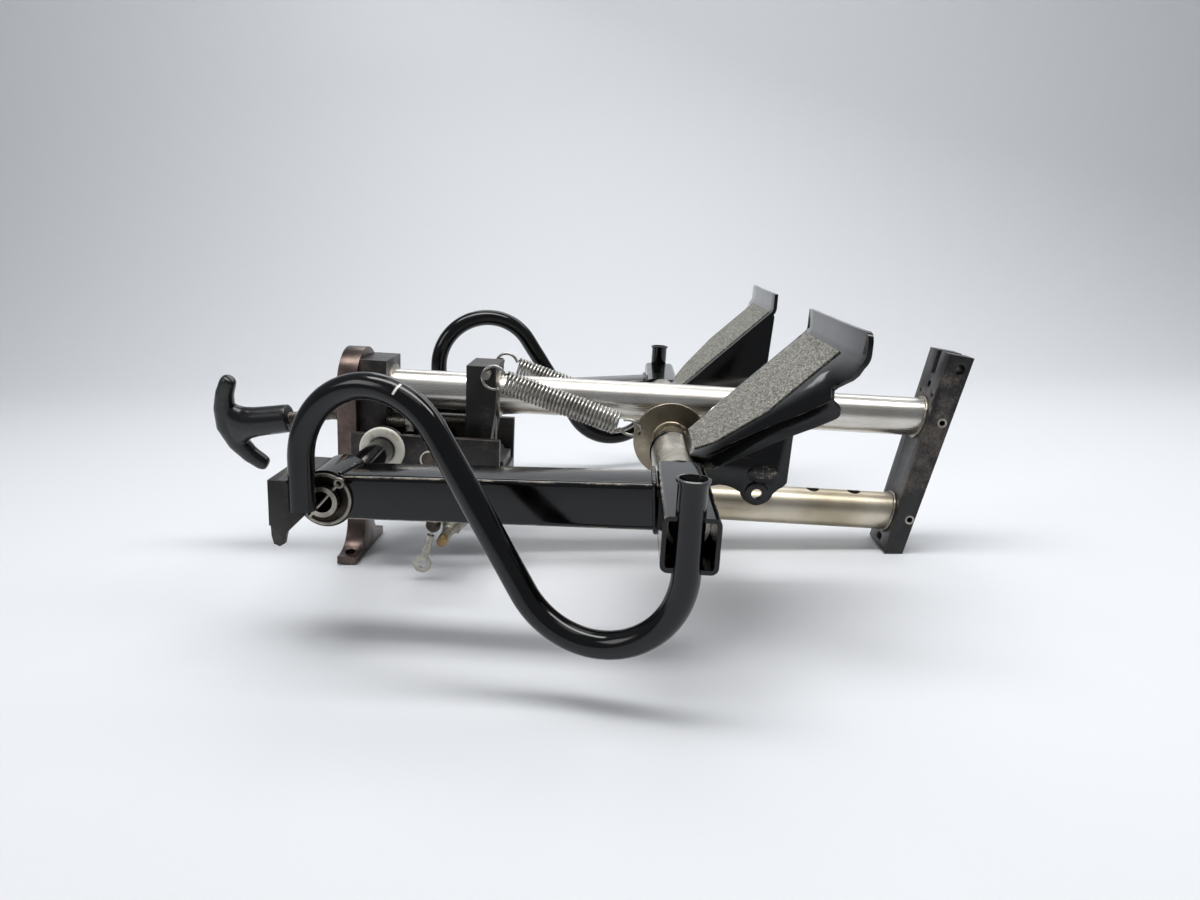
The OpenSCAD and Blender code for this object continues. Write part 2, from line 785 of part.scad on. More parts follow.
module horn_outline() {
  translate([pivot_x, pivot_z]) polygon([
    [-22.8, 13.2], [-13.4, 13.4], [-5.1, -4.2], [-13.9, -13.2],
    [-15.2, -19.2], [-17.8, -20.8], [-20.8, -19.6], [-21.8, -15.2]
  ]);
}

module horn() {
  horn_out_y = guide_y + 2.5;
  horn_in_y = hub_out_y - hub_len + 2;
  horn_x = pivot_x - 22.8;
  horn_shelf_z = pivot_z + 10.8;
  color(paint_black) difference() {
    union() {
      wall_y(horn_out_y - sheet_t, horn_out_y) horn_outline();
      translate([horn_x, horn_in_y, horn_shelf_z - 21]) cube([sheet_t, horn_out_y - horn_in_y, 23.4]);
      translate([horn_x, horn_in_y, horn_shelf_z]) cube([20, hub_out_y - 1 - horn_in_y, sheet_t]);
      translate([horn_x, horn_in_y, horn_shelf_z]) cube([9, horn_out_y - horn_in_y, sheet_t]);
    }
    along_y(pivot_x, 0, pivot_z) cylinder(r = hub_r + weld_gap, h = shaft_half + 3);
    translate([guide_x, guide_y, guide_end_z - weld_gap]) cylinder(r = guide_r + weld_gap, h = 60);
  }
}

module guide_straight(r, from, to) {
  translate([0, from, 0]) rotate([-90, 0, 0]) cylinder(r = r, h = to - from);
}

// a bend with its joint rings, followed by what comes after it
module guide_bend(r) {
  guide_straight(r + joint_step, -joint_half, joint_half);
  translate([guide_bend_r, 0, 0]) mirror([1, 0, 0]) {
    rotate_extrude(angle = guide_sweep) translate([guide_bend_r, 0]) circle(r = r);
    rotate([0, 0, guide_sweep]) translate([guide_bend_r, 0, 0]) {
      guide_straight(r + joint_step, -joint_half, joint_half);
      children();
    }
  }
}

module guide_path(r, over) {
  guide_straight(r, guide_end_z - over, rear_bend_z - joint_gap);
  translate([0, rear_bend_z, 0]) guide_bend(r) {
    guide_straight(r, joint_gap, guide_run - joint_gap);
    translate([0, guide_run, 0]) guide_bend(r)
      guide_straight(r, joint_gap, rim_z - front_bend_z + over);
  }
}

module guide_tube() {
  color(paint_black) translate([guide_x, guide_y, 0]) rotate([90, 0, guide_splay]) difference() {
    union() {
      guide_path(guide_r, 0);
      translate([guide_span, rim_z - rim_h, 0]) rotate([-90, 0, 0])
        cylinder(r1 = guide_r + joint_step, r2 = guide_r + rim_flare, h = rim_h);
    }
    guide_path(guide_r - guide_wall, 1);
  }
}

module cross_tube() {
  color(paint_black) difference() {
    translate([cross_rear_x, cross_in_y, axle_z - cross_half])
      cube([cross_w, cross_out_y - cross_in_y, cross_w]);
    translate([cross_rear_x + box_wall, 0, axle_z - cross_half + box_wall])
      cube([cross_w - 2 * box_wall, through, cross_w - 2 * box_wall]);
    translate([guide_front_x, guide_front_y, 0]) cylinder(r = guide_r + weld_gap, h = through);
  }
}

module brake_axle() {
  color(bare_metal) difference() {
    along_y(axle_x, axle_in_y, axle_z) cylinder(d = axle_d, h = axle_out_y - axle_in_y);
    along_y(axle_x, 0, axle_z) cylinder(d = axle_bore, h = through);
  }
}

module spring_disc() {
  color(brown_anodised) difference() {
    along_y(axle_x, disc_y, axle_z) cylinder(d = disc_d, h = disc_t);
    along_y(axle_x, 0, axle_z) cylinder(d = axle_d + 2 * weld_gap, h = through);
    along_y(disc_hook_x, 0, disc_hook_z) cylinder(d = disc_hole_d, h = through);
  }
}

module plate_frame() {
  translate([axle_x + plate_from_x, 0, axle_z + plate_from_z]) rotate([0, -plate_slope, 0]) children();
}

module plate_face_outline() {
  polygon([
    [plate_low, plate_in_y + tuck], [plate_len, plate_in_y + tuck], [plate_len, plate_out_y],
    [plate_len - 5, plate_out_y + 2], [plate_len - 10, plate_out_y], [plate_len - 17, plate_out_y - 12],
    [plate_len - 22, plate_out_y - 15], [42, 156], [12, 139], [plate_low, 116]
  ]);
}

module outer_flange_outline() {
  polygon([
    [5, 127.4], [12.4, 138.4], [42.2, 155.4], [plate_len - 22.4, plate_out_y - 15.8],
    [plate_len - 21, plate_out_y - 18.2], [42.8, 152.6], [13.8, 136], [6.6, 125.4]
  ]);
}

module gusset_outline() {
  end_x = plate_len * cos(plate_slope);
  end_z = plate_len * sin(plate_slope);
  difference() {
    union() {
      polygon([
        [plate_from_x - 2, plate_from_z - 3], [plate_from_x + end_x, plate_from_z + end_z - 1],
        [plate_from_x + end_x + 1.4, plate_from_z + end_z - 4], [69.5, 11.4], [68.5, -15.2], [61.5, -22],
        [43, -22], [32, -17.6], [23, -10], [10, -8], [-6, 10]
      ]);
      translate([51.4, -21.8]) circle(r = 8);
      circle(r = sleeve_d / 2 + 1);
    }
    circle(r = axle_d / 2 + pivot_play);
    translate([51.4, -21.8]) circle(d = lug_hole_d);
  }
}

module foot_plate() {
  color(paint_black) {
    plate_frame() translate([0, 0, -sheet_t]) linear_extrude(height = sheet_t) plate_face_outline();
    plate_frame() translate([0, 0, -sheet_t - flange_h])
      linear_extrude(height = flange_h + sheet_t / 2) outer_flange_outline();
    translate([lip_x, 0, lip_z]) wall_y(plate_in_y + 2 * tuck, plate_out_y - tuck)
      translate([tuck, -sheet_t / 3]) square([sheet_t, lip_h + sheet_t / 3]);
  }
}

module gusset() {
  color(paint_black) difference() {
    translate([axle_x, 0, axle_z]) wall_y(plate_in_y, plate_in_y + sheet_t) gusset_outline();
    plate_frame() translate([plate_low - weld_gap, 0, -sheet_t - weld_gap]) cube(through);
  }
}

module grip_tape() {
  color(dark_plastic) plate_frame() translate([0, 0, weld_gap]) linear_extrude(height = tape_t) polygon([
    [0, plate_in_y + 7], [plate_len - 2, plate_in_y + 7], [plate_len - 2, plate_out_y - 32],
    [42, plate_out_y - 30], [12, 132], [0, 114]
  ]);
}

module hinge_sleeve() {
  color(paint_black) difference() {
    along_y(axle_x, sleeve_in_y + weld_gap, axle_z) cylinder(d = sleeve_d, h = cross_in_y - 1 - sleeve_in_y);
    along_y(axle_x, 0, axle_z) cylinder(r = axle_d / 2 + pivot_play, h = through);
  }
}

module coil_profile() {
  inner_r = spring_mean_r - spring_wire / 4;
  translate([inner_r, 0]) square([spring_wire / 2, coil_len]);
  for (i = [0 : spring_coils - 1])
    translate([spring_mean_r, (i + 0.5) * coil_pitch]) circle(d = spring_wire, $fn = 16);
}

module spring() {
  color(bare_metal) translate([post_hook_x, spring_y, post_hook_z]) rotate([0, -spring_pitch_angle, 0]) {
    translate([hook_shift, 0, 0]) rotate([90, 0, 0]) rotate_extrude()
      translate([hook_r - spring_wire / 2, 0]) circle(d = spring_wire, $fn = 16);
    translate([spring_len - hook_r + spring_wire / 2, 0, 0]) rotate_extrude()
      translate([hook_r - spring_wire / 2, 0]) circle(d = spring_wire, $fn = 16);
    along_x(coil_from, 0, 0) {
      rotate_extrude() coil_profile();
      for (end = [0, coil_len - spring_wire])
        translate([0, 0, end]) cylinder(r = spring_mean_r, h = spring_wire);
    }
  }
}

module arm_right() {
  right_side() arm();
}

module hub_right() {
  right_side() hub();
}

module horn_right() {
  right_side() horn();
}

module guide_tube_right() {
  right_side() guide_tube();
}

module cross_tube_right() {
  right_side() cross_tube();
}

module brake_axle_right() {
  right_side() brake_axle();
}

module spring_disc_right() {
  right_side() spring_disc();
}

module foot_plate_right() {
  right_side() foot_plate();
}

module gusset_right() {
  right_side() gusset();
}

module grip_tape_right() {
  right_side() grip_tape();
}

module hinge_sleeve_right() {
  right_side() hinge_sleeve();
}

module spring_right() {
  right_side() spring();
}

module arm_left() {
  arm();
}

module hub_left() {
  hub();
}

module horn_left() {
  horn();
}

module guide_tube_left() {
  guide_tube();
}

module cross_tube_left() {
  cross_tube();
}

module brake_axle_left() {
  brake_axle();
}

module spring_disc_left() {
  spring_disc();
}

module foot_plate_left() {
  foot_plate();
}

module gusset_left() {
  gusset();
}

module grip_tape_left() {
  grip_tape();
}

module hinge_sleeve_left() {
  hinge_sleeve();
}

module spring_left() {
  spring();
}

upper_tube();
lower_tube();
front_bracket();
bracket_screws();
end_plate();
rear_block();
spring_post();
lower_slider();
side_plate_right();
side_plate_left();
rear_slide_bush();
front_slide_bush();
plate_screws();
side_screws();
pivot_shaft();
pivot_bush_right();
pivot_bush_left();
side_plugs();
hub_washers();
split_pins();
side_fitting();
tag_stud();
bonding_tag();
pull_rod();
t_handle();
lock_pin();
cross_pin();
stop_screws();
stop_nuts();
spring_pins();
arm_right();
hub_right();
horn_right();
guide_tube_right();
cross_tube_right();
brake_axle_right();
spring_disc_right();
foot_plate_right();
gusset_right();
grip_tape_right();
hinge_sleeve_right();
spring_right();
arm_left();
hub_left();
horn_left();
guide_tube_left();
cross_tube_left();
brake_axle_left();
spring_disc_left();
foot_plate_left();
gusset_left();
grip_tape_left();
hinge_sleeve_left();
spring_left();
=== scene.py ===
# %% [markdown]
# # Adjustable rudder pedals
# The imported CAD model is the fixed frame. This lesson dresses it: the painted and bare metal get
# their finishes, and the pieces that a plain solid can't show well, such as the coil springs, the
# bent cable guides and the moulded handle, are modelled again in their places.

# %% Load the frame
import math
import bpy
from mathutils import Matrix, Vector


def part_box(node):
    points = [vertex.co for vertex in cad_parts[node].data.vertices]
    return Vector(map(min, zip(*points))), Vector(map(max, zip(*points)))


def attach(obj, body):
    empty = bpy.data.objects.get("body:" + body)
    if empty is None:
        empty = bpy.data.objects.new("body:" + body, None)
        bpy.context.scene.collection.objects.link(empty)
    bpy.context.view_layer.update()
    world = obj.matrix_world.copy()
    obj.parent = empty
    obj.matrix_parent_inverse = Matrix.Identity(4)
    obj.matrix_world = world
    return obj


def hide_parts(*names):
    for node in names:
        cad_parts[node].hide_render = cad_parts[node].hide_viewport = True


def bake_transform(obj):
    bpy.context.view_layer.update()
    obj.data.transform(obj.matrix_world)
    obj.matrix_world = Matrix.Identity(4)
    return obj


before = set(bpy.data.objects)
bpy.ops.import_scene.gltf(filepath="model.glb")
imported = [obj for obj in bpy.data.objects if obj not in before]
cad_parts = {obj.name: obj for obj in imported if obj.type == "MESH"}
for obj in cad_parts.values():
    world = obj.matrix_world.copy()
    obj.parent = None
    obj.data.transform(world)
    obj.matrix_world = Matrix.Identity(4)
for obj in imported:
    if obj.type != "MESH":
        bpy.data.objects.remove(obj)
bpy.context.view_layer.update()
scene = bpy.context.scene
SIDES = {"right": -1, "left": 1}

# %% [markdown]
# ## Camera
# The photograph was taken from the side of the right-hand pedal, a little above it, with a wide
# lens. The camera was fitted to mirrored pairs of points, so its place is typed as it came out.

# %% Camera
MM = 0.001
LENS, SENSOR = 26.0, 36


def mm(x, y, z):
    """A place in millimetres, turned into the frame's metres."""
    return Vector((x, y, z)) * MM


camera_data = bpy.data.cameras.new("camera")
camera_data.sensor_width = SENSOR
camera_data.lens = LENS
camera_data.clip_start, camera_data.clip_end = 0.01, 50
camera = bpy.data.objects.new("camera", camera_data)
scene.collection.objects.link(camera)
# the columns of the turn are the camera's right, up and back
camera.matrix_world = Matrix.Translation(mm(174.54, -562.48, 220.28)) @ Matrix((
    (0.998132, -0.057328, 0.021139),
    (0.034418, 0.241658, -0.969751),
    (0.050486, 0.968667, 0.243179),
)).to_4x4()
scene.camera = camera
print("camera with a lens of", LENS, "mm")

# %% [markdown]
# ## Selecting by place
# An operator acts on all that is selected, so each piece starts with nothing selected. `pick` then
# selects vertices, edges or faces by a test on their middles, as one would click them by hand.

# %% Selecting by place


def enter_edit():
    bpy.ops.object.mode_set(mode="EDIT")


def leave_edit():
    bpy.ops.object.mode_set(mode="OBJECT")


def start():
    """Leaves edit mode with nothing selected, and lets a new mesh select by vertices."""
    if bpy.context.object and bpy.context.object.mode == "EDIT":
        leave_edit()
    bpy.ops.object.select_all(action="DESELECT")
    bpy.context.tool_settings.mesh_select_mode = (True, False, False)


def only(piece):
    """Selects one piece and makes it the active one."""
    start()
    piece.select_set(True)
    bpy.context.view_layer.objects.active = piece


def edit_whole(piece):
    """Enters edit mode with the whole of a piece selected."""
    only(piece)
    enter_edit()
    bpy.ops.mesh.select_all(action="SELECT")


def pick(piece, domain, test):
    """Enters edit mode with the vertices, edges or faces selected whose middle passes the test."""
    enter_edit()
    bpy.ops.mesh.select_mode(type=domain)
    bpy.ops.mesh.select_all(action="DESELECT")
    leave_edit()
    places = [v.co for v in piece.data.vertices]
    if domain == "VERT":
        middles = list(zip(piece.data.vertices, places))
    elif domain == "EDGE":
        middles = [(e, (places[e.vertices[0]] + places[e.vertices[1]]) / 2) for e in piece.data.edges]
    else:
        middles = [(f, f.center) for f in piece.data.polygons]
    for element, middle in middles:
        element.select = bool(test(middle, element))
    enter_edit()


def extrude(by):
    bpy.ops.mesh.extrude_region_move(TRANSFORM_OT_translate={"value": by})


# %% [markdown]
# ## Floor and light
# The part stands on the front edge of its feet and on the lower corner of the front bracket, so the
# floor is a plane through those two edges, four degrees off level in the part's own frame. Floor
# and backdrop are one sheet that sweeps up into a wall, so that no corner shows behind the part.
# Most of the light is a strip overhead, which draws the long highlights on the tubes, and a dim sky
# keeps the black paint from going flat.

# %% Floor and backdrop
FOOT_X, CORNER_X, CORNER_Z = 6.15, 365.4, 25.3
FLOOR_TILT = math.atan2(CORNER_Z, CORNER_X - FOOT_X)
FLOOR_GAP = 0.3
# in metres, and the sheet is stretched sideways
FLOOR_X, FLOOR_DEPTH, FLOOR_STRETCH, WALL_Y, WALL_HEIGHT, SWEEP_R = 0.17, 8, 3, 1.15, 4, 0.5
start()
bpy.ops.mesh.primitive_plane_add(size=FLOOR_DEPTH, location=(FLOOR_X, WALL_Y - FLOOR_DEPTH / 2, 0),
                                 scale=(FLOOR_STRETCH, 1, 1))
floor = bpy.context.object
floor.name = "floor"
bpy.ops.object.transform_apply()
pick(floor, "EDGE", lambda at, e: at.y > WALL_Y - MM)
extrude((0, 0, WALL_HEIGHT))
pick(floor, "EDGE", lambda at, e: at.y > WALL_Y - MM and abs(at.z) < MM)
bpy.ops.mesh.bevel(offset=SWEEP_R, segments=24)
leave_edit()
bpy.ops.object.shade_smooth()
floor.matrix_world = Matrix.Translation(mm(FOOT_X, 0, -FLOOR_GAP)) @ Matrix.Rotation(-FLOOR_TILT, 4, "Y")
print("floor faces", len(floor.data.polygons))

# %% Lamps


def hex_colour(code):
    """The linear colour of an sRGB hex value."""
    parts = [int(code[i:i + 2], 16) / 255 for i in (1, 3, 5)]
    return (*[c / 12.92 if c <= 0.04045 else ((c + 0.055) / 1.055) ** 2.4 for c in parts], 1)


def soft_lamp(name, place, aim, size, watts):
    lamp = bpy.data.lights.new(name, "AREA")
    lamp.shape = "RECTANGLE"
    lamp.size, lamp.size_y = size
    lamp.energy = watts
    holder = bpy.data.objects.new(name, lamp)
    scene.collection.objects.link(holder)
    holder.location = place
    holder.rotation_euler = (Vector(aim) - Vector(place)).to_track_quat("-Z", "Y").to_euler()


MIDDLE = (0.16, 0, 0.09)
soft_lamp("overhead_softbox", (0.15, 0.0, 1.5), MIDDLE, (1.7, 0.7), 4)
soft_lamp("overhead_strip", (0.15, -0.12, 1.2), MIDDLE, (1.5, 0.3), 12.5)
soft_lamp("left_softbox", (-1.3, -0.9, 1.0), MIDDLE, (0.7, 0.7), 5)
soft_lamp("back_strip", (0.4, 0.75, 0.9), MIDDLE, (1.6, 0.25), 4)
world = bpy.data.worlds.new("studio")
world.use_nodes = True
scene.world = world
world.node_tree.nodes["Background"].inputs["Color"].default_value = hex_colour("#e7ebf1")
world.node_tree.nodes["Background"].inputs["Strength"].default_value = 0.27
scene.view_settings.view_transform = "Standard"
print("lamps", len(bpy.data.lights))

# %% [markdown]
# ## Finishes
# Every finish is a small node tree on Object coordinates, so a pattern keeps its real size, and its
# scale is worked out from a size in millimetres. One helper adds a node, sets it and links it.
# Colours are written as sRGB hex values.

# %% Helpers for materials


def per(size):
    """The texture scale at which one patch or grain is this many millimetres."""
    return 1 / (size * MM)


def set_inputs(tree, node, inputs):
    """Links an input whose value is a node's output, and sets any other; a node means its first output."""
    for key, value in inputs.items():
        if isinstance(value, bpy.types.Node):
            value = value.outputs[0]
        if isinstance(value, bpy.types.NodeSocket):
            tree.links.new(value, node.inputs[key])
        else:
            node.inputs[key].default_value = value


def add(tree, kind, inputs, **settings):
    """Adds one node with its settings and inputs."""
    made = tree.nodes.new("ShaderNode" + kind)
    for key, value in settings.items():
        setattr(made, key, value)
    set_inputs(tree, made, inputs)
    return made


def new_finish(name):
    finish = bpy.data.materials.new(name)
    finish.use_nodes = True
    tree = finish.node_tree
    where = add(tree, "TexCoord", {}).outputs["Object"]
    return finish, tree, tree.nodes["Principled BSDF"], where


def ramp_stops(made, *stops):
    """Sets a colour ramp's stops from (position, hex) pairs."""
    elements = made.color_ramp.elements
    while len(elements) < len(stops):
        elements.new(0.5)
    for element, (place, code) in zip(elements, stops):
        element.position = place
        element.color = hex_colour(code)
    return made.outputs["Color"]


# %% [markdown]
# ### Gloss black enamel
# The arms, tubes and foot plates are steel with a sprayed gloss enamel. The eye sees a deep black
# with sharp lamp reflections, a faint orange-peel ripple of about 3 mm, a film of dust in soft
# patches, and a few pale chips. One guide tube also has a short white scratch on its arch.

# %% Gloss black enamel


def enamel(name, scratch=None):
    """Black enamel; a scratch is its place, the way across it, and its half width and length in mm."""
    finish, tree, shader, where = new_finish(name)
    dust = add(tree, "TexNoise", {"Vector": where, "Scale": per(22.22), "Detail": 6, "Roughness": 0.62})
    film = ramp_stops(add(tree, "ValToRGB", {"Fac": dust}),
                      (0.42, "#050506"), (0.66, "#09090a"), (0.84, "#171616"))
    spots = add(tree, "TexVoronoi", {"Vector": where, "Scale": per(7.692), "Randomness": 1})
    area = add(tree, "TexNoise", {"Vector": where, "Scale": per(45.45), "Detail": 2})
    size = add(tree, "Math", {0: area, 1: 0.60}, operation="SUBTRACT")
    chips = add(tree, "Math", {0: spots.outputs["Distance"], 1: size}, operation="LESS_THAN")
    colour = add(tree, "MixRGB", {"Fac": chips, "Color1": film, "Color2": hex_colour("#8d867c")})
    if scratch:
        place, across, half_width, half_length = scratch
        off = add(tree, "VectorMath", {0: where, 1: place}, operation="SUBTRACT")
        side = add(tree, "VectorMath", {0: off, 1: across}, operation="DOT_PRODUCT")
        side_size = add(tree, "Math", {0: side.outputs["Value"]}, operation="ABSOLUTE")
        reach = add(tree, "VectorMath", {0: off}, operation="LENGTH")
        narrow = add(tree, "Math", {0: side_size, 1: half_width * MM}, operation="LESS_THAN")
        near = add(tree, "Math", {0: reach.outputs["Value"], 1: half_length * MM}, operation="LESS_THAN")
        mark = add(tree, "Math", {0: narrow, 1: near}, operation="MULTIPLY")
        colour = add(tree, "MixRGB", {"Fac": mark, "Color1": colour, "Color2": hex_colour("#e4e1d8")})
    rough = add(tree, "MapRange", {"Value": dust, "From Min": 0.35, "From Max": 0.75,
                                   "To Min": 0.07, "To Max": 0.22})
    peel = add(tree, "TexNoise", {"Vector": where, "Scale": per(3.03), "Detail": 1})
    bump = add(tree, "Bump", {"Height": peel, "Strength": 0.05, "Distance": 0.4 * MM})
    set_inputs(tree, shader, {"Base Color": colour, "Roughness": rough, "Normal": bump, "IOR": 1.45})
    return finish


ARCH_SCRATCH = (mm(73.02, -179.62, 147.53), Vector((0.89, -0.29, -0.36)), 0.6, 3.4)
gloss_black = enamel("gloss_black_enamel")
scratched_black = enamel("scratched_black_enamel", ARCH_SCRATCH)
print("enamels", gloss_black.name, scratched_black.name)

# %% [markdown]
# ### Rubbed enamel and a painted highlight
# Paint wears off first where the sheet turns a corner. The middle strip of every rounded edge takes
# black enamel that breaks into bare tan metal in patches of about a centimetre. The domes beside
# the brake lugs get a painted highlight on their tops instead: tan speckles in patches of about 3 mm
# that stand for the lamp's reflection there, with some real wear.

# %% Rubbed enamel


def enamel_with_pale_patches(name, patch, detail, detail_roughness, paint_to, metal_from, metal, roughness):
    """Black enamel up to one value of a noise, and a pale colour from the other: bare metal on the worn
    edges, a painted highlight on the domes.
    """
    finish, tree, shader, where = new_finish(name)
    patches = add(tree, "TexNoise", {"Vector": where, "Scale": per(patch), "Detail": detail,
                                     "Roughness": detail_roughness})
    colour = ramp_stops(add(tree, "ValToRGB", {"Fac": patches}),
                        (paint_to, "#0b0b0c"), (metal_from, metal))
    set_inputs(tree, shader, {"Base Color": colour, "Roughness": roughness})
    return finish


rubbed_edge = enamel_with_pale_patches("rubbed_enamel_edge", 13.33, 6, 0.7, 0.46, 0.60, "#93897a", 0.2)
# a painted highlight: tan speckles on the top of each dome where the lamp shines, with some wear
dome_highlight = enamel_with_pale_patches("dome_painted_highlight", 3.03, 5, 0.65, 0.50, 0.68, "#8d8171", 0.25)
print("rubbed finishes", rubbed_edge.name, dome_highlight.name)

# %% [markdown]
# ### Worn satin black
# The sled's blocks, the side plates and the front bracket were painted thinner and have rubbed.
# The paint is a flat charcoal with pale scuffs, and more of the bracket is rubbed bare.

# %% Worn satin black


def worn_black(name, deep, scuffed, bare, bare_from, roughness):
    finish, tree, shader, where = new_finish(name)
    cloud = add(tree, "TexNoise", {"Vector": where, "Scale": per(26.32), "Detail": 7, "Roughness": 0.66})
    grain = add(tree, "TexNoise", {"Vector": where, "Scale": per(1.613), "Detail": 3, "Roughness": 0.7})
    both = add(tree, "Math", {0: grain, 1: 0.35, 2: cloud}, operation="MULTIPLY_ADD")
    colour = ramp_stops(add(tree, "ValToRGB", {"Fac": both}),
                        (0.48, deep), (0.70, scuffed), (bare_from, bare))
    rough = add(tree, "MapRange", {"Value": both, "From Min": 0.4, "From Max": 0.95,
                                   "To Min": roughness, "To Max": roughness + 0.3})
    bump = add(tree, "Bump", {"Height": both, "Strength": 0.10, "Distance": 0.4 * MM})
    set_inputs(tree, shader, {"Base Color": colour, "Roughness": rough, "Normal": bump})
    return finish


satin_black = worn_black("worn_satin_black", "#0f0e0e", "#1f1c1b", "#4d443d", 0.92, 0.26)
bracket_black = worn_black("rubbed_bracket_black", "#0b0b0c", "#191717", "#5d554d", 0.86, 0.26)
print("worn finishes", satin_black.name, bracket_black.name)

# %% [markdown]
# ### Drawn aluminium
# The two slide tubes are bare drawn aluminium. Years of sliding left fine streaks along the tube,
# two thirds of a millimetre wide, so a noise is stretched 250 times along X. The lower tube is
# duller and has warm stains.

# %% Drawn aluminium
STREAK_W, STREAK_LONG = 0.6667, 166.7


def drawn_aluminium(name, clean, stained, roughness, stain_from):
    finish, tree, shader, where = new_finish(name)
    stretch = (per(STREAK_LONG), per(STREAK_W), per(STREAK_W))
    along = add(tree, "Mapping", {"Vector": where, "Scale": stretch})
    streaks = add(tree, "TexNoise", {"Vector": along, "Scale": 1, "Detail": 4, "Roughness": 0.7})
    patches = add(tree, "TexNoise", {"Vector": where, "Scale": per(38.46), "Detail": 5})
    colour = ramp_stops(add(tree, "ValToRGB", {"Fac": patches}), (0.40, clean), (stain_from, stained))
    rough = add(tree, "MapRange", {"Value": streaks, "From Min": 0.3, "From Max": 0.7,
                                   "To Min": roughness, "To Max": roughness + 0.12})
    bump = add(tree, "Bump", {"Height": streaks, "Strength": 0.04, "Distance": 0.2 * MM})
    set_inputs(tree, shader, {"Metallic": 1, "Base Color": colour, "Roughness": rough, "Normal": bump})
    return finish


bright_tube = drawn_aluminium("drawn_aluminium_bright", "#dcd9d3", "#c4bdb2", 0.22, 0.74)
dull_tube = drawn_aluminium("drawn_aluminium_dull", "#d8cfbe", "#b0a48d", 0.33, 0.72)
print("tube finishes", bright_tube.name, dull_tube.name)

# %% [markdown]
# ### Plain metals
# Springs, washers and pins are bright steel. The end plate and the spring discs have a brown coat.
# All of these are one kind of metal shader, whose tone and polish drift in spots of about a
# centimetre, so one function makes them.

# %% Plain metals


def plain_metal(name, light, dark, roughness, spot):
    finish, tree, shader, where = new_finish(name)
    cloud = add(tree, "TexNoise", {"Vector": where, "Scale": per(spot), "Detail": 5, "Roughness": 0.6})
    colour = ramp_stops(add(tree, "ValToRGB", {"Fac": cloud}), (0.36, dark), (0.66, light))
    rough = add(tree, "MapRange", {"Value": cloud, "From Min": 0.3, "From Max": 0.7,
                                   "To Min": roughness + 0.14, "To Max": roughness})
    scratch = add(tree, "TexNoise", {"Vector": where, "Scale": per(1.111), "Detail": 2})
    bump = add(tree, "Bump", {"Height": scratch, "Strength": 0.06, "Distance": 0.2 * MM})
    set_inputs(tree, shader, {"Metallic": 1, "Base Color": colour, "Roughness": rough, "Normal": bump})
    return finish


spring_steel = plain_metal("bright_spring_steel", "#c4c2bd", "#8f8c86", 0.24, 8.333)
bare_steel = plain_metal("dull_zinc_steel", "#b3aea4", "#7d776d", 0.30, 11.11)
axle_steel = plain_metal("turned_axle_steel", "#c9c4ba", "#99927f", 0.22, 14.29)
brown_coat = plain_metal("bronze_anodised_alloy", "#6b5d57", "#4b413d", 0.24, 16.67)
disc_coat = plain_metal("brown_plated_steel", "#b3a894", "#8f8472", 0.26, 14.29)
dark_plate = plain_metal("dark_plated_steel", "#57504a", "#38322d", 0.30, 11.11)
tinned = plain_metal("tinned_copper", "#c4c0b7", "#98948a", 0.18, 8.333)
brass = plain_metal("yellow_brass", "#b09668", "#7b694b", 0.30, 11.11)
print("finishes so far", len(bpy.data.materials))

# %% [markdown]
# ### Nylon, plastic, grit, thread and floor
# The pivot bushes are cream nylon. The handle is moulded plastic with a fine spark-eroded grain. The
# tape on the foot plates carries mineral grit of about half a millimetre, drawn at three quarters of
# a millimetre so that it shows. The screws' threads are bands in a bump map, which is enough from
# this far away.

# %% Nylon and plastic
nylon, tree, shader, where = new_finish("cream_nylon")
grime = add(tree, "TexNoise", {"Vector": where, "Scale": per(6.25), "Detail": 5})
colour = ramp_stops(add(tree, "ValToRGB", {"Fac": grime}), (0.30, "#b9af9d"), (0.46, "#e0dacd"))
set_inputs(tree, shader, {"Base Color": colour, "Roughness": 0.42, "Subsurface Weight": 0.05})

handle_plastic, tree, shader, where = new_finish("moulded_black_plastic")
grain = add(tree, "TexNoise", {"Vector": where, "Scale": per(1.176), "Detail": 2})
wear = add(tree, "TexNoise", {"Vector": where, "Scale": per(16.67), "Detail": 4})
colour = ramp_stops(add(tree, "ValToRGB", {"Fac": wear}), (0.40, "#111113"), (0.75, "#212122"))
rough = add(tree, "MapRange", {"Value": wear, "From Min": 0.3, "From Max": 0.7,
                               "To Min": 0.22, "To Max": 0.36})
bump = add(tree, "Bump", {"Height": grain, "Strength": 0.07, "Distance": 0.3 * MM})
set_inputs(tree, shader, {"Base Color": colour, "Roughness": rough, "Normal": bump})
print("plastics", nylon.name, handle_plastic.name)

# %% Grit, thread and floor
grit, tree, shader, where = new_finish("mineral_grit_tape")
grains = add(tree, "TexVoronoi", {"Vector": where, "Scale": per(0.7692), "Randomness": 1})
clumps = add(tree, "TexNoise", {"Vector": where, "Scale": per(1.111), "Detail": 3, "Roughness": 0.7})
sparkle = add(tree, "MixRGB", {"Fac": 0.5, "Color1": grains.outputs["Color"],
                               "Color2": clumps.outputs["Color"]})
colour = ramp_stops(add(tree, "ValToRGB", {"Fac": sparkle}),
                    (0.28, "#383833"), (0.50, "#76756e"), (0.72, "#c0bdb1"))
bump = add(tree, "Bump", {"Height": grains.outputs["Distance"], "Strength": 0.9, "Distance": 0.8 * MM})
set_inputs(tree, shader, {"Base Color": colour, "Roughness": 0.72, "Normal": bump})

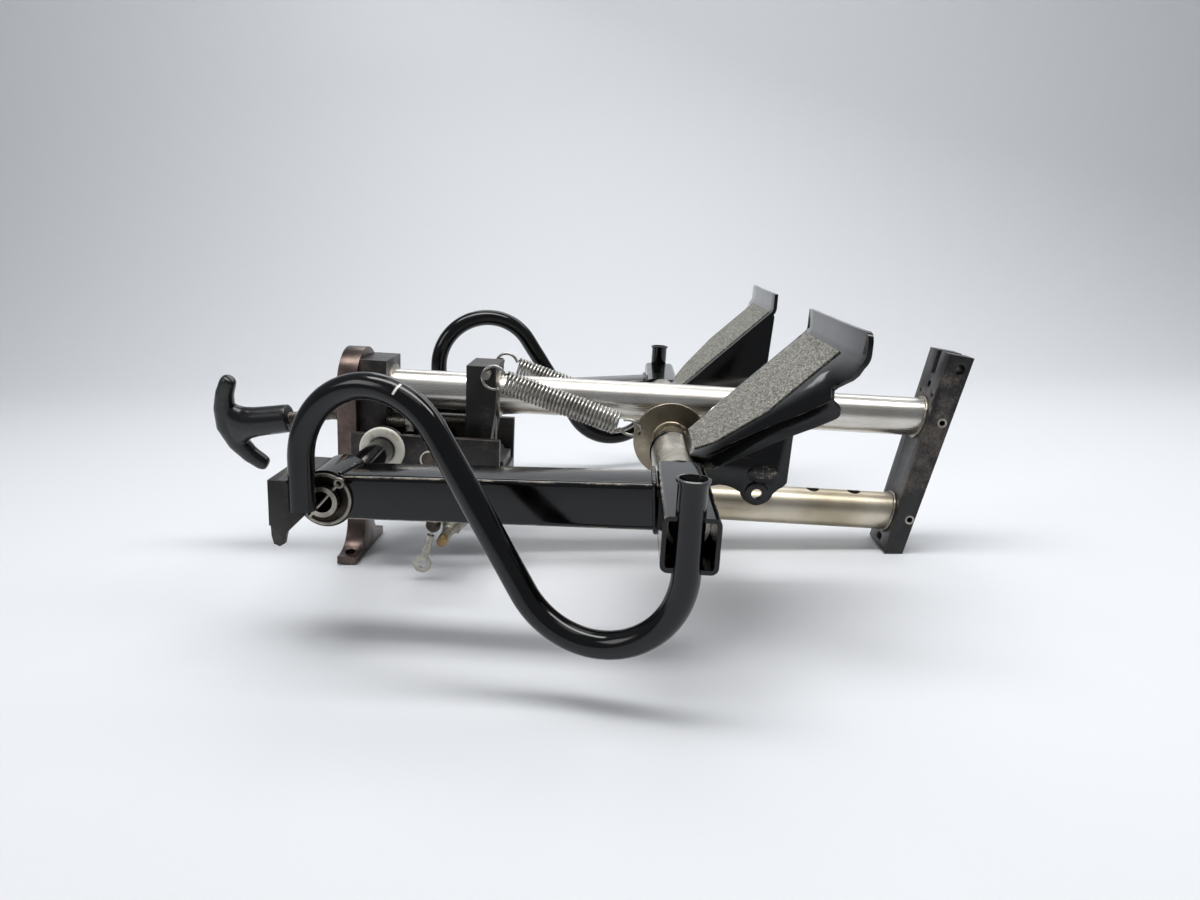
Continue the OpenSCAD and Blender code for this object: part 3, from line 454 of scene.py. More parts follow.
# a wave texture has one band in 2 pi / (20 * scale), and an 8 mm screw has a pitch of 1.25 mm
THREAD_PITCH = 1.25
threaded, tree, shader, where = new_finish("blackened_thread")
bands = add(tree, "TexWave", {"Vector": where, "Scale": 2 * math.pi / (20 * THREAD_PITCH * MM),
                              "Distortion": 0}, bands_direction="X")
bump = add(tree, "Bump", {"Height": bands.outputs["Fac"], "Strength": 0.9, "Distance": 0.7 * MM})
set_inputs(tree, shader, {"Metallic": 1, "Base Color": hex_colour("#8a837a"), "Roughness": 0.36,
                          "Normal": bump})

pale_floor, tree, shader, where = new_finish("pale_studio_floor")
set_inputs(tree, shader, {"Base Color": hex_colour("#dfe1e4"), "Roughness": 0.6})
floor.data.materials.append(pale_floor)
print("finishes", len(bpy.data.materials))

# %% [markdown]
# ## Modelling helpers
# `shape_with` applies a modifier at once. `finish_piece` puts a piece's place into its mesh, gives
# it its finish and makes it ride on its body. `paint_faces` gives some faces a second finish.

# %% Modelling helpers


def shape_with(piece, kind, **settings):
    only(piece)
    step = piece.modifiers.new(kind.lower(), kind)
    for key, value in settings.items():
        setattr(step, key, value)
    bpy.ops.object.modifier_apply(modifier=step.name)


def round_edges(piece, width, segments, degrees=40, **more):
    """Rounds every edge that turns by more than the angle."""
    shape_with(piece, "BEVEL", width=width * MM, segments=segments, limit_method="ANGLE",
               angle_limit=math.radians(degrees), **more)


def smooth_by(piece, degrees):
    only(piece)
    bpy.ops.object.shade_smooth_by_angle(angle=math.radians(degrees))


def settle(piece, placing):
    """Moves a piece and puts the move into its mesh."""
    piece.matrix_world = placing
    only(piece)
    bpy.ops.object.transform_apply()


def face_outwards(piece):
    edit_whole(piece)
    bpy.ops.mesh.normals_make_consistent(inside=False)
    leave_edit()


def finish_piece(piece, name, finish, body, replaced=()):
    only(piece)
    bpy.ops.object.transform_apply()
    piece.name = piece.data.name = name
    piece.data.materials.clear()
    piece.data.materials.append(finish)
    if body:
        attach(piece, body)
    if replaced:
        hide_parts(*replaced)
    return piece


def paint_faces(mesh, finish, test):
    """Gives the faces that pass the test one more finish."""
    mesh.materials.append(finish)
    for face in mesh.polygons:
        if test(face):
            face.material_index = len(mesh.materials) - 1


# %% [markdown]
# ## Finishes on the CAD nodes
# Nodes whose shape is right keep their solid and only take a finish. The pivot shaft is painted
# round its side, and its two ends are bare.

# %% Dress the CAD nodes
DRESS = {
    bright_tube: ["upper_tube"],
    dull_tube: ["lower_tube"],
    bare_steel: ["rear_slide_bush", "front_slide_bush", "lock_pin", "cross_pin", "spring_pins", "split_pins",
                 "bracket_screws"],
    tinned: ["bonding_tag", "stop_nuts"],
    dark_plate: ["tag_stud"],
    disc_coat: ["spring_disc_right", "spring_disc_left"],
    axle_steel: ["brake_axle_right", "brake_axle_left", "hinge_sleeve_right", "hinge_sleeve_left"],
    threaded: ["pull_rod", "stop_screws"],
    satin_black: ["plate_screws", "side_screws"],
    gloss_black: ["pivot_shaft", "hub_right", "hub_left"],
    grit: ["grip_tape_right", "grip_tape_left"],
}
for finish, names in DRESS.items():
    for name in names:
        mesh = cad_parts[name].data
        mesh.materials.clear()
        mesh.materials.append(finish)
        smooth_by(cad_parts[name], 30)
paint_faces(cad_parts["pivot_shaft"].data, bare_steel, lambda f: abs(f.normal.y) > 0.9)
print("dressed", sum(len(names) for names in DRESS.values()), "nodes")

# %% [markdown]
# ## Softened blocks
# No real edge is razor sharp: milled blocks have a broken edge of half a millimetre, which is what
# catches the light. A copy of the node is welded, its flat faces are joined, and a bevel rounds
# every edge over 40 degrees. The bevel marks the faces it makes, and the paint is rubbed along the
# middle of them.

# %% Rounded edges and their wear


def middle_strips(mesh, rounded):
    """The rounded faces that have rounded faces on both of their long sides."""
    beside = {}
    for face in mesh.polygons:
        for key in face.edge_keys:
            beside.setdefault(key, set()).add(face.index)

    def length(key):
        return (mesh.vertices[key[0]].co - mesh.vertices[key[1]].co).length

    return {i for i in rounded
            if all(beside[key] <= rounded for key in sorted(mesh.polygons[i].edge_keys, key=length)[-2:])}


def round_and_find_wear(piece, width, degrees=40):
    """Rounds the edges and returns the numbers of the faces along their middle."""
    piece.data.materials.clear()
    # the bevel marks its faces with the second of two slots
    for _ in range(2):
        piece.data.materials.append(satin_black)
    round_edges(piece, width, 3, degrees, material=1)
    return middle_strips(piece.data, {f.index for f in piece.data.polygons if f.material_index == 1})


def softened(node_name, radius, finish, body, rubbed=None):
    """A copy of a node with rounded edges, which can be rubbed."""
    copy = bpy.data.objects.new(node_name + "_edged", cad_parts[node_name].data.copy())
    scene.collection.objects.link(copy)
    edit_whole(copy)
    bpy.ops.mesh.remove_doubles(threshold=1e-6)
    bpy.ops.mesh.dissolve_limited(angle_limit=math.radians(0.5))
    leave_edit()
    worn = round_and_find_wear(copy, radius)
    smooth_by(copy, 35)
    finish_piece(copy, node_name + "_edged", finish, body, [node_name])
    if rubbed:
        paint_faces(copy.data, rubbed, lambda f: f.index in worn)
    print(copy.name, "faces", len(copy.data.polygons), "in the middle of an edge", len(worn))
    return copy


for side in SIDES:
    softened("horn_" + side, 0.7, satin_black, "pedal_" + side, rubbed_edge)
    softened("side_plate_" + side, 0.6, satin_black, "sled", rubbed_edge)
for block in ("rear_block", "spring_post", "lower_slider"):
    softened(block, 0.8, satin_black, "sled", rubbed_edge)
softened("front_bracket", 0.7, bracket_black, "rails", rubbed_edge)
softened("end_plate", 0.7, brown_coat, "sled")

# %% [markdown]
# ## Arms and cross tubes
# Both are cut from box tube, which is rolled with corners of about 3 mm. A cube at the tube's size
# gets its long edges bevelled. Bisect cuts the arm square to the cross tube that it is welded to,
# and the cross tube's outer end is inset and pushed in, so that it looks open.

# %% Box tube


def box_tube(first, last, width, height, corner):
    """A closed box tube along X between two places, with its four long edges rounded."""
    start()
    bpy.ops.mesh.primitive_cube_add(size=1, location=mm((first + last) / 2, 0, 0),
                                    scale=mm(last - first, width, height))
    tube = bpy.context.object
    bpy.ops.object.transform_apply()
    pick(tube, "EDGE", lambda at, e: abs(at.y) > 0.4 * width * MM and abs(at.z) > 0.4 * height * MM)
    bpy.ops.mesh.bevel(offset=corner * MM, segments=5)
    leave_edit()
    return tube


# %% Arms
PIVOT, AXLE = Vector((26.4, 0, 81.2)), Vector((207, 0, 95.6))
ARM_START = PIVOT + Vector((0, 127, 0))
ARM_W, ARM_H, ARM_FROM, ARM_TO, ARM_CORNER = 28, 24, 8.5, 180, 3.0
ARM_PITCH, ARM_SPLAY = math.radians(4.4), math.radians(8.8)
CROSS_W, WELD_GAP = 25, 0.1


def rolled_arm(side, sign):
    arm = box_tube(ARM_FROM, ARM_TO, ARM_W, ARM_H, ARM_CORNER)
    hub = Matrix.Translation(mm(ARM_START.x, sign * ARM_START.y, ARM_START.z))
    placing = hub @ Matrix.Rotation(-ARM_PITCH, 4, "Y") @ Matrix.Rotation(sign * ARM_SPLAY, 4, "Z")
    settle(arm, placing)
    edit_whole(arm)
    bpy.ops.mesh.bisect(plane_co=mm(AXLE.x - CROSS_W / 2 - WELD_GAP, 0, 0), plane_no=(1, 0, 0),
                        use_fill=True, clear_outer=True)
    leave_edit()
    smooth_by(arm, 30)
    finish_piece(arm, "arm_rolled_" + side, gloss_black, "pedal_" + side, ["arm_" + side])
    unturn = placing.to_3x3().inverted()
    paint_faces(arm.data, rubbed_edge,
                lambda f: min(abs((unturn @ f.normal).y), abs((unturn @ f.normal).z)) > 0.6)
    print(arm.name, "faces", len(arm.data.polygons))


# %% Cross tubes
CROSS_IN, CROSS_OUT, CROSS_CORNER = 130, 221.07, 3.4
CROSS_WALL, CROSS_RIM, CROSS_BORE = 2.0, 1.1, 78


def rolled_cross_tube(side, sign):
    cross = box_tube(CROSS_IN, CROSS_OUT, CROSS_W, CROSS_W, CROSS_CORNER)
    pick(cross, "FACE", lambda at, f: f.normal.x > 0.9)
    bpy.ops.mesh.inset(thickness=CROSS_WALL * MM)
    extrude(mm(-CROSS_RIM, 0, 0))
    extrude(mm(-CROSS_BORE, 0, 0))
    leave_edit()
    settle(cross, Matrix.Translation(AXLE * MM) @ Matrix.Rotation(sign * math.pi / 2, 4, "Z"))
    smooth_by(cross, 30)
    finish_piece(cross, "cross_tube_rolled_" + side, gloss_black, "pedal_" + side,
                 ["cross_tube_" + side])
    # the rolled corners and the first millimetre inside the mouth
    paint_faces(cross.data, rubbed_edge, lambda f: min(abs(f.normal.x), abs(f.normal.z)) > 0.6 or
                (CROSS_OUT - CROSS_RIM) * MM < abs(f.center.y) < (CROSS_OUT - 0.1) * MM)
    print(cross.name, "faces", len(cross.data.polygons))


for side, sign in SIDES.items():
    rolled_arm(side, sign)
    rolled_cross_tube(side, sign)

# %% [markdown]
# ## Side fitting, bushes, plugs and washers
# The fitting on the lower slider is a plated union with a short brass nipple, so a copy of its node
# is cut with Bisect where the brass begins. The turned pieces start as cylinders. A pivot bush is
# drilled and its rims are rounded. A plug's face is inset and sunk, which leaves a thin pale ring
# round a brown screw. The hub washers are dished in the same way.

# %% Side fitting
NIPPLE_Y = -93.5
fitting = softened("side_fitting", 0.4, bare_steel, "sled")
edit_whole(fitting)
bpy.ops.mesh.bisect(plane_co=mm(0, NIPPLE_Y, 0), plane_no=(0, 1, 0))
leave_edit()
paint_faces(fitting.data, brass, lambda f: f.center.y < NIPPLE_Y * MM)
print("fitting faces", len(fitting.data.polygons))

# %% Turned rings
DRILL_DEPTH = 20


def turned(at, radius, thickness):
    """A short cylinder along Y with its middle at the given place in mm."""
    start()
    bpy.ops.mesh.primitive_cylinder_add(vertices=64, radius=radius * MM, depth=thickness * MM,
                                        location=at * MM, rotation=(math.pi / 2, 0, 0))
    bpy.ops.object.transform_apply()
    return bpy.context.object


def drilled(piece, at, radius):
    """Drills a hole along Y through the given place in mm."""
    drill = turned(at, radius, DRILL_DEPTH)
    shape_with(piece, "BOOLEAN", operation="DIFFERENCE", object=drill, solver="EXACT")
    bpy.data.objects.remove(drill)


def sunk(piece, sign, rim, depth):
    """Insets the outer face and sinks it."""
    pick(piece, "FACE", lambda at, f: f.normal.y * sign > 0.9)
    bpy.ops.mesh.inset(thickness=rim * MM)
    extrude(mm(0, -sign * depth, 0))
    leave_edit()


def joined(first, second):
    only(first)
    second.select_set(True)
    bpy.ops.object.join()
    return first


def off_axis(at, axis):
    """How far in mm a place is from the line along Y through the axis."""
    return math.hypot(at.x / MM - axis.x, at.z / MM - axis.z)


# %% Pivot bushes and plugs
SHAFT_R, SIDE_Y, BUSH_R, BUSH_T, BUSH_ROUND = 8.05, 37.5, 14.4, 3.0, 1.3
PLUG, PLUG_R, PLUG_T, PLUG_RIM, PLUG_SUNK = Vector((55.8, 0, 76)), 5.7, 1.2, 0.8, 0.8
plugs = []
for side, sign in SIDES.items():
    bush = turned(PIVOT + Vector((0, sign * (SIDE_Y + BUSH_T / 2), 0)), BUSH_R, BUSH_T)
    drilled(bush, PIVOT + Vector((0, sign * SIDE_Y, 0)), SHAFT_R)
    round_edges(bush, BUSH_ROUND, 5)
    smooth_by(bush, 40)
    finish_piece(bush, "pivot_bush_rounded_" + side, nylon, "sled", ["pivot_bush_" + side])
    plug = turned(PLUG + Vector((0, sign * (SIDE_Y + PLUG_T / 2), 0)), PLUG_R, PLUG_T)
    sunk(plug, sign, PLUG_RIM, PLUG_SUNK)
    smooth_by(plug, 40)
    plugs.append(plug)
pair = finish_piece(joined(*plugs), "side_plugs_ringed", nylon, "sled", ["side_plugs"])
paint_faces(pair.data, dark_plate, lambda f: off_axis(f.center, PLUG) < PLUG_R - PLUG_RIM - 0.1)
print("plug faces", len(pair.data.polygons))

# %% Hub washers
WASHER_R, WASHER_Y, WASHER_T, WASHER_RIM, WASHER_DISH = 13.8, 143.3, 1.6, 1.8, 0.9
washers = []
for side, sign in SIDES.items():
    washer = turned(PIVOT + Vector((0, sign * (WASHER_Y + WASHER_T / 2), 0)), WASHER_R, WASHER_T)
    sunk(washer, sign, WASHER_RIM, WASHER_DISH)
    drilled(washer, PIVOT + Vector((0, sign * WASHER_Y, 0)), SHAFT_R)
    round_edges(washer, 0.35, 2)
    smooth_by(washer, 40)
    washers.append(washer)
pair = finish_piece(joined(*washers), "hub_washers_dished", bare_steel, "sled", ["hub_washers"])
# the dished middle of each washer is painted darker than its rim
paint_faces(pair.data, dark_plate, lambda f: off_axis(f.center, PIVOT) < WASHER_R - WASHER_RIM - 0.2)
print("washer faces", len(pair.data.polygons))

# %% [markdown]
# ## Cable guide tubes
# Each guide is one 13 mm tube bent in an S: up from the hub, over an arch, down under the arm and up
# through the cross tube to a flared rim. A circle is extruded and spun along that path, which
# follows the tube bender's own moves, and Solidify gives the wall. Both bends have one radius, so
# the straight run between them and the angle of each bend follow from where their middles are.

# %% Cable guide tubes
GUIDE_R, GUIDE_WALL, BEND_R, GUIDE_SPLAY = 6.5, 1.5, 41.0, math.radians(18)
GUIDE_X, GUIDE_Y, GUIDE_SPAN = 19.8, 157.5, 196
FOOT_Z, ARCH_Z, UNDER_Z, RIM_Z = 79.5, 105, 82, 121.6
RIM_STEPS = [(1.5, 1.14), (0.9, 1.02)]
UP = Vector((0, 0, 1))
level, drop = GUIDE_SPAN - 2 * BEND_R, ARCH_Z - UNDER_Z
apart = math.hypot(level, drop)
RUN = math.sqrt(apart ** 2 - (2 * BEND_R) ** 2)
BEND = math.pi / 2 + math.atan2(drop, level) + math.asin(2 * BEND_R / apart)


def bent_tube(sign):
    """The guide's skin, swept from its foot to its flared rim."""
    along = Vector((math.cos(GUIDE_SPLAY), sign * math.sin(GUIDE_SPLAY), 0))
    axis = UP.cross(along)
    foot = Vector((GUIDE_X, sign * GUIDE_Y, 0))
    start()
    bpy.ops.mesh.primitive_circle_add(vertices=40, radius=GUIDE_R * MM, location=mm(foot.x, foot.y, FOOT_Z))
    guide = bpy.context.object
    bpy.ops.object.transform_apply()
    edit_whole(guide)
    extrude(UP * (ARCH_Z - FOOT_Z) * MM)
    arch = (foot + along * BEND_R + UP * ARCH_Z) * MM
    bpy.ops.mesh.spin(steps=44, angle=-BEND, center=arch, axis=axis)
    extrude(Matrix.Rotation(BEND, 3, axis) @ UP * RUN * MM)
    under = (foot + along * (GUIDE_SPAN - BEND_R) + UP * UNDER_Z) * MM
    bpy.ops.mesh.spin(steps=44, angle=BEND, center=under, axis=axis)
    extrude(UP * (RIM_Z - UNDER_Z) * MM)
    for step, flare in RIM_STEPS:
        extrude(UP * step * MM)
        bpy.ops.transform.resize(value=(flare, flare, 1),
                                 center_override=(foot + along * GUIDE_SPAN + UP * RIM_Z) * MM)
    bpy.ops.mesh.select_all(action="SELECT")
    bpy.ops.mesh.remove_doubles(threshold=1e-6)
    face_outwards(guide)
    return guide


for side, sign in SIDES.items():
    guide = bent_tube(sign)
    shape_with(guide, "SOLIDIFY", thickness=GUIDE_WALL * MM, offset=-1)
    smooth_by(guide, 40)
    finish_piece(guide, "guide_tube_bent_" + side, scratched_black if side == "right" else gloss_black,
                 "pedal_" + side, ["guide_tube_" + side])
    off = Vector(guide.bound_box[0]) - Vector(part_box("guide_tube_" + side)[0])
    print(guide.name, "is off the CAD box by mm", [round(v / MM, 2) for v in off])

# %% [markdown]
# ## Tension springs
# Each spring is a close coil of 1.8 mm wire with a loop at either end. The wire's middle line is a
# path: round the post's pin, out to the coil, 31 and a half turns, and round through the hole in the
# disc. A curve with a round bevel is the wire itself, so nothing has to be swept by hand.

# %% Path of the spring's wire
HOOK_PIN, HOOK_HOLE = Vector((90, 0, 130.4)), Vector((187.902, 0, 100.009))
SPRING_Y, WIRE_R, COIL_R, TURNS, TURN_STEPS = 29.25, 0.92, 6.7, 31.5, 20
LOOP_R, LOOP_TURN, LOOP_STEPS, LOOP_TWIST = 7.3, 278, 32, math.radians(40)
# along the spring: the first loop's middle, the coil's start, and what the coil leaves at the far end
LOOP_AT, COIL_FROM, COIL_LEAVES = 4.5, 12.2, 15.0


def angles(first, turn, steps):
    """The angles of a turn in even steps, with both ends: degrees go in, and radians come out."""
    return [math.radians(first + turn * i / steps) for i in range(steps + 1)]


def spring_line():
    """The wire's middle line along +X from the pin to the hole, in millimetres."""
    length = (HOOK_HOLE - HOOK_PIN).length
    coil = length - COIL_LEAVES - COIL_FROM
    line = [(LOOP_AT + LOOP_R * math.cos(a), 0, LOOP_R * math.sin(a))
            for a in angles(-50, -LOOP_TURN, LOOP_STEPS)]
    line.append((COIL_FROM - 0.7, 0.1, 5.4))
    steps = int(TURNS * TURN_STEPS)
    for i in range(1, steps):
        a = 2 * math.pi * TURNS * i / steps
        line.append((COIL_FROM + coil * i / steps, COIL_R * math.sin(a), COIL_R * math.cos(a)))
    for a in angles(-142, LOOP_TURN, LOOP_STEPS):
        across = LOOP_R * math.sin(a)
        line.append((length - LOOP_R + LOOP_R * math.cos(a), -across * math.sin(LOOP_TWIST),
                     across * math.cos(LOOP_TWIST)))
    return line


print("spring path", len(spring_line()), "points")

# %% Tension springs


def bent_wire(places, radius, closed=False):
    """A round wire along the given places."""
    start()
    bpy.ops.curve.primitive_nurbs_path_add()
    wire = bpy.context.object
    wire.data.splines.clear()
    spline = wire.data.splines.new("POLY")
    spline.points.add(len(places) - 1)
    for point, place in zip(spline.points, places):
        point.co = (*place, 1)
    spline.use_cyclic_u = closed
    wire.data.dimensions = "3D"
    wire.data.bevel_depth = radius * MM
    wire.data.bevel_resolution = 2
    wire.data.use_fill_caps = True
    bpy.ops.object.convert(target="MESH")
    return bpy.context.object


lean = Matrix.Rotation(-math.atan2(HOOK_HOLE.z - HOOK_PIN.z, HOOK_HOLE.x - HOOK_PIN.x), 3, "Y")
for side, sign in SIDES.items():
    post_pin = HOOK_PIN + Vector((0, sign * SPRING_Y, 0))
    wire = bent_wire([(lean @ Vector(at) + post_pin) * MM for at in spring_line()], WIRE_R)
    smooth_by(wire, 60)
    finish_piece(wire, "coil_spring_" + side, spring_steel, None, ["spring_" + side])
    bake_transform(wire)
    print(wire.name, "faces", len(wire.data.polygons))

# %% [markdown]
# ## Foot plates
# A foot plate is one pressed sheet: a sloping face, an outer edge that rolls over and hangs down as
# a flange, a notch above the flange, and a toe lip at the top. A grid is laid on rows up the plate,
# the flange is extruded from its outer edge, the lip is spun from its top edge, and Solidify makes
# it sheet. A grid is used because the roll and the notch need rows of their own.

# %% Foot plate sizes
SLOPE = math.radians(44)
PLATE_AT = Vector((215, 0, 111.3))
UP_PLATE = Vector((math.cos(SLOPE), 0, math.sin(SLOPE)))
OFF_PLATE = Vector((-math.sin(SLOPE), 0, math.cos(SLOPE)))
SHEET_T, SHEET_IN, SHEET_MID = 2.5, 60.8, 90
LIP_S, LIP_R, LIP_TURN, LIP_RISE, LIP_ROUND = 86, 5.0, math.radians(46), 9.6, 5
# the flange hangs in two steps, each a drop and a shift outwards, and its upper corner is rounded
FLANGE_ROWS, FLANGE_STEPS, FLANGE_ROUND = 8, [(4.5, 0.5), (4.5, -0.3)], 4
# rows up the plate: the place along it, where the flat ends, then the roll and the edge (across, height)
ROWS = [(-3.9, 113, (114.5, -0.1), (116, -0.6)), (2.3, 118, (124, -0.8), (129.6, -2.3)),
        (11.3, 132, (133.6, -0.5), (137.2, -2.3)), (26.7, 142, (144.6, -0.8), (148.8, -3.2)),
        (41.1, 151, (154.0, -1.1), (159.4, -4.4)), (54.7, 153.5, (162, -2.4), (167.8, -6.8)),
        (62.5, 154, (166, -2.8), (173.2, -7.5)), (67.5, 154, (167, -3.0), (176.2, -7.8)),
        (69.4, 154, (165, -2.5), (173.4, -6.0)), (71.4, 153.5, (163, -2.0), (170.8, -4.8)),
        (73.4, 153, (162.8, -1.9), (171.0, -4.8)), (76, 152.5, (164, -1.9), (173.4, -5.0)),
        (79, 152, (166, -1.7), (177.8, -4.7)), (82, 151.5, (167.5, -1.2), (181, -3.6)),
        (86, 151, (168.5, -0.6), (183, -1.6))]


def on_plate(s, y, n, sign):
    """The place that is s up the plate, y across and n off its face."""
    return (PLATE_AT + UP_PLATE * s + OFF_PLATE * n + Vector((0, sign * y, 0))) * MM


print("foot plate rows", len(ROWS))

# %% Foot plate sheet


def sheet_blank(sign):
    """The grid on its rows, with the flange extruded and its upper corner rounded."""
    start()
    bpy.ops.mesh.primitive_grid_add(x_subdivisions=4, y_subdivisions=len(ROWS) - 1, size=1)
    plate = bpy.context.object
    grid = sorted(plate.data.vertices, key=lambda v: (round(v.co.y, 4), v.co.x))
    places = []
    for s, flat, roll, edge in ROWS:
        places += [(s, SHEET_IN, 0), (s, SHEET_MID, 0), (s, flat, 0), (s, *roll), (s, *edge)]
    for vertex, (s, y, n) in zip(grid, places):
        vertex.co = on_plate(s, y, n, sign)
    laid = len(grid)
    rim = {v.index for v in grid[4::5][:FLANGE_ROWS]}
    pick(plate, "EDGE", lambda at, e: set(e.vertices) <= rim)
    for hang, shift in FLANGE_STEPS:
        extrude((OFF_PLATE * -hang + Vector((0, sign * shift, 0))) * MM)
    leave_edit()
    tip = max((v for v in plate.data.vertices if v.index >= laid),
              key=lambda v: (v.co - PLATE_AT * MM).dot(UP_PLATE - OFF_PLATE)).index
    pick(plate, "VERT", lambda at, v: v.index == tip)
    bpy.ops.mesh.bevel(offset=FLANGE_ROUND * MM, segments=5, affect="VERTICES")
    return plate


def spin_lip(plate, sign):
    """Rolls the toe lip up from the top edge and rounds its outer corner."""
    lip_line = on_plate(LIP_S, 0, 0, sign)
    pick(plate, "EDGE", lambda at, e: all(
        (plate.data.vertices[i].co - lip_line).dot(UP_PLATE) > -MM for i in e.vertices))
    bpy.ops.mesh.spin(steps=5, angle=-LIP_TURN, axis=(0, -1, 0), center=on_plate(LIP_S, 120, LIP_R, sign))
    extrude(mm(0, 0, LIP_RISE))
    leave_edit()
    lip_low = max(v.co.z for v in plate.data.vertices) - 4 * MM
    far_out = max(abs(v.co.y) for v in plate.data.vertices if v.co.z > lip_low)
    pick(plate, "VERT", lambda at, v: at.z > lip_low and abs(at.y) > far_out - 0.5 * MM)
    bpy.ops.mesh.bevel(offset=LIP_ROUND * MM, segments=5, affect="VERTICES")
    bpy.ops.mesh.select_all(action="SELECT")
    bpy.ops.mesh.remove_doubles(threshold=1e-6)
    face_outwards(plate)


def face_place(face):
    """A face's middle, rounded so that it can be found again after a join."""
    return tuple(round(v, 7) for v in face.center)


def pressed_sheet(sign):
    """The finished sheet, and the places of the faces along the middle of its rounded edges."""
    plate = sheet_blank(sign)
    spin_lip(plate, sign)
    tread = min(plate.data.polygons, key=lambda f: (f.center - on_plate(30, 75, 0, sign)).length)
    if tread.normal.dot(OFF_PLATE) < 0:
        edit_whole(plate)
        bpy.ops.mesh.flip_normals()
        leave_edit()
    shape_with(plate, "SUBSURF", levels=1, render_levels=1, subdivision_type="SIMPLE")
    shape_with(plate, "SOLIDIFY", thickness=SHEET_T * MM, offset=-1, use_even_offset=True)
    worn = round_and_find_wear(plate, 0.9, 34)
    smooth_by(plate, 40)
    return plate, {face_place(plate.data.polygons[i]) for i in worn}


# %% [markdown]
# ### Gusset
# The gusset stands on the sheet's inner edge and carries the brake lug. Its outline is drawn by
# moving the vertices of a ring, then extruded. The lug has a raised collar, and the sheet above it
# is pressed out in a dome, which is a flattened sphere cut off by Bisect. Both are fused to it.

# %% Gusset
GUSSET_Y, AXLE_HOLE_R = 60.5, 10.45
LUG_X, LUG_Z, LUG_R, LUG_MIDDLE_Z, LUG_HOLE_R = 51.4, -21.8, 10.2, -18.9, 3.1
COLLAR_R, COLLAR_Y, COLLAR_T = 7.3, 62.6, 1.7
DOME_AT, DOME_R, DOME_SCALE, DOME_FROM_Y = (54.4, 58.3, -9.5), 16, (1, 0.375, 0.66), 62
# the crown: the ellipse on the top of the dome where the highlight is painted in tan speckles
CROWN_AT, CROWN_X, CROWN_Y, CROWN_Z = (55.4, 64, -8.5), 8, 0.9, 4


def arc(x, z, radius, first, turn, steps):
    return [(x + radius * math.cos(a), z + radius * math.sin(a)) for a in angles(first, turn, steps)]


# from the axle: up the plate's slope, down the front, round the lug, along the lower edge, round the axle
OUTLINE = [(6, 12.7), (71.3, 75.8), (72.7, 72.8), (69.5, 11.4), (68.8, -14.3), (66.5, -17.0), (64.0, -18.6),
           *arc(LUG_X, LUG_MIDDLE_Z, LUG_R, -15, -150, 12),
           (39.4, -20.4), (36.5, -19), (33, -18), (29, -17.6), (25, -18.6), (20, -19.5), (14, -18),
           (8.5, -14.6), *arc(0, 0, 14, -65, -170, 10), (-6, 12.6)]


def from_axle(x, y, z, sign):
    return (AXLE + Vector((x, sign * y, z))) * MM


def drawn_plate(points, y, thickness, sign):
    """A flat plate drawn from a ring whose vertices are moved to the outline, then extruded along Y."""
    start()
    bpy.ops.mesh.primitive_circle_add(vertices=len(points), radius=0.05, fill_type="NGON")
    plate = bpy.context.object
    for vertex, (x, z) in zip(plate.data.vertices, points):
        vertex.co = from_axle(x, y, z, sign)
    pick(plate, "FACE", lambda at, f: True)
    extrude(mm(0, sign * thickness, 0))
    face_outwards(plate)
    return plate


def lug_collar(sign):
    collar = drawn_plate(arc(LUG_X, LUG_Z, COLLAR_R, 0, 360, 36)[:-1], COLLAR_Y, COLLAR_T, sign)
    pick(collar, "EDGE", lambda at, e: abs(at.y) > (COLLAR_Y + COLLAR_T - 0.3) * MM)
    bpy.ops.mesh.bevel(offset=0.8 * MM, segments=3)
    return collar


def pressed_dome(sign):
    x, y, z = DOME_AT
    start()
    bpy.ops.mesh.primitive_uv_sphere_add(segments=48, ring_count=24, radius=DOME_R * MM, scale=DOME_SCALE,
                                         location=from_axle(x, y, z, sign))
    dome = bpy.context.object
    bpy.ops.object.transform_apply()
    edit_whole(dome)
    bpy.ops.mesh.bisect(plane_co=mm(0, sign * DOME_FROM_Y, 0), plane_no=(0, sign, 0), use_fill=True,
                        clear_inner=True)
    leave_edit()
    return dome


def brake_gusset(sign):
    gusset = drawn_plate(OUTLINE, GUSSET_Y, SHEET_T, sign)
    for raised in (lug_collar(sign), pressed_dome(sign)):
        shape_with(gusset, "BOOLEAN", operation="UNION", object=raised, solver="EXACT")
        bpy.data.objects.remove(raised)
    for x, z, radius in ((LUG_X, LUG_Z, LUG_HOLE_R), (0, 0, AXLE_HOLE_R)):
        drilled(gusset, AXLE + Vector((x, sign * (GUSSET_Y + 0.5), z)), radius)
    round_edges(gusset, 0.5, 2)
    smooth_by(gusset, 40)
    return gusset


print("gusset outline", len(OUTLINE), "points")

# %% Foot plates


def on_crown(at, sign):
    """Whether a place is in the ellipse on the top of the dome that takes the speckled painted highlight."""
    x, y, z = CROWN_AT
    off = at / MM - AXLE - Vector((x, sign * y, z))
    return (off.x / CROWN_X) ** 2 + (off.z / CROWN_Z) ** 2 < 1 and abs(off.y) < CROWN_Y


for side, sign in SIDES.items():
    plate, worn = pressed_sheet(sign)
    finish_piece(joined(plate, brake_gusset(sign)), "foot_plate_pressed_" + side, gloss_black,
                 "brake_" + side, ["foot_plate_" + side, "gusset_" + side])
    paint_faces(plate.data, rubbed_edge, lambda f: face_place(f) in worn)
    # the painted highlight on the top of the dome
    paint_faces(plate.data, dome_highlight, lambda f: on_crown(f.center, sign))
    print(plate.name, "faces", len(plate.data.polygons))

# %% [markdown]
# ## T-handle
# The handle is one plastic moulding: a crescent grip with round, tapered ends, flowing into a
# tapered neck round the rod. Rings are extruded along the crescent and along the neck, the two are
# fused by a voxel remesh, and smoothing makes the moulded fillets.

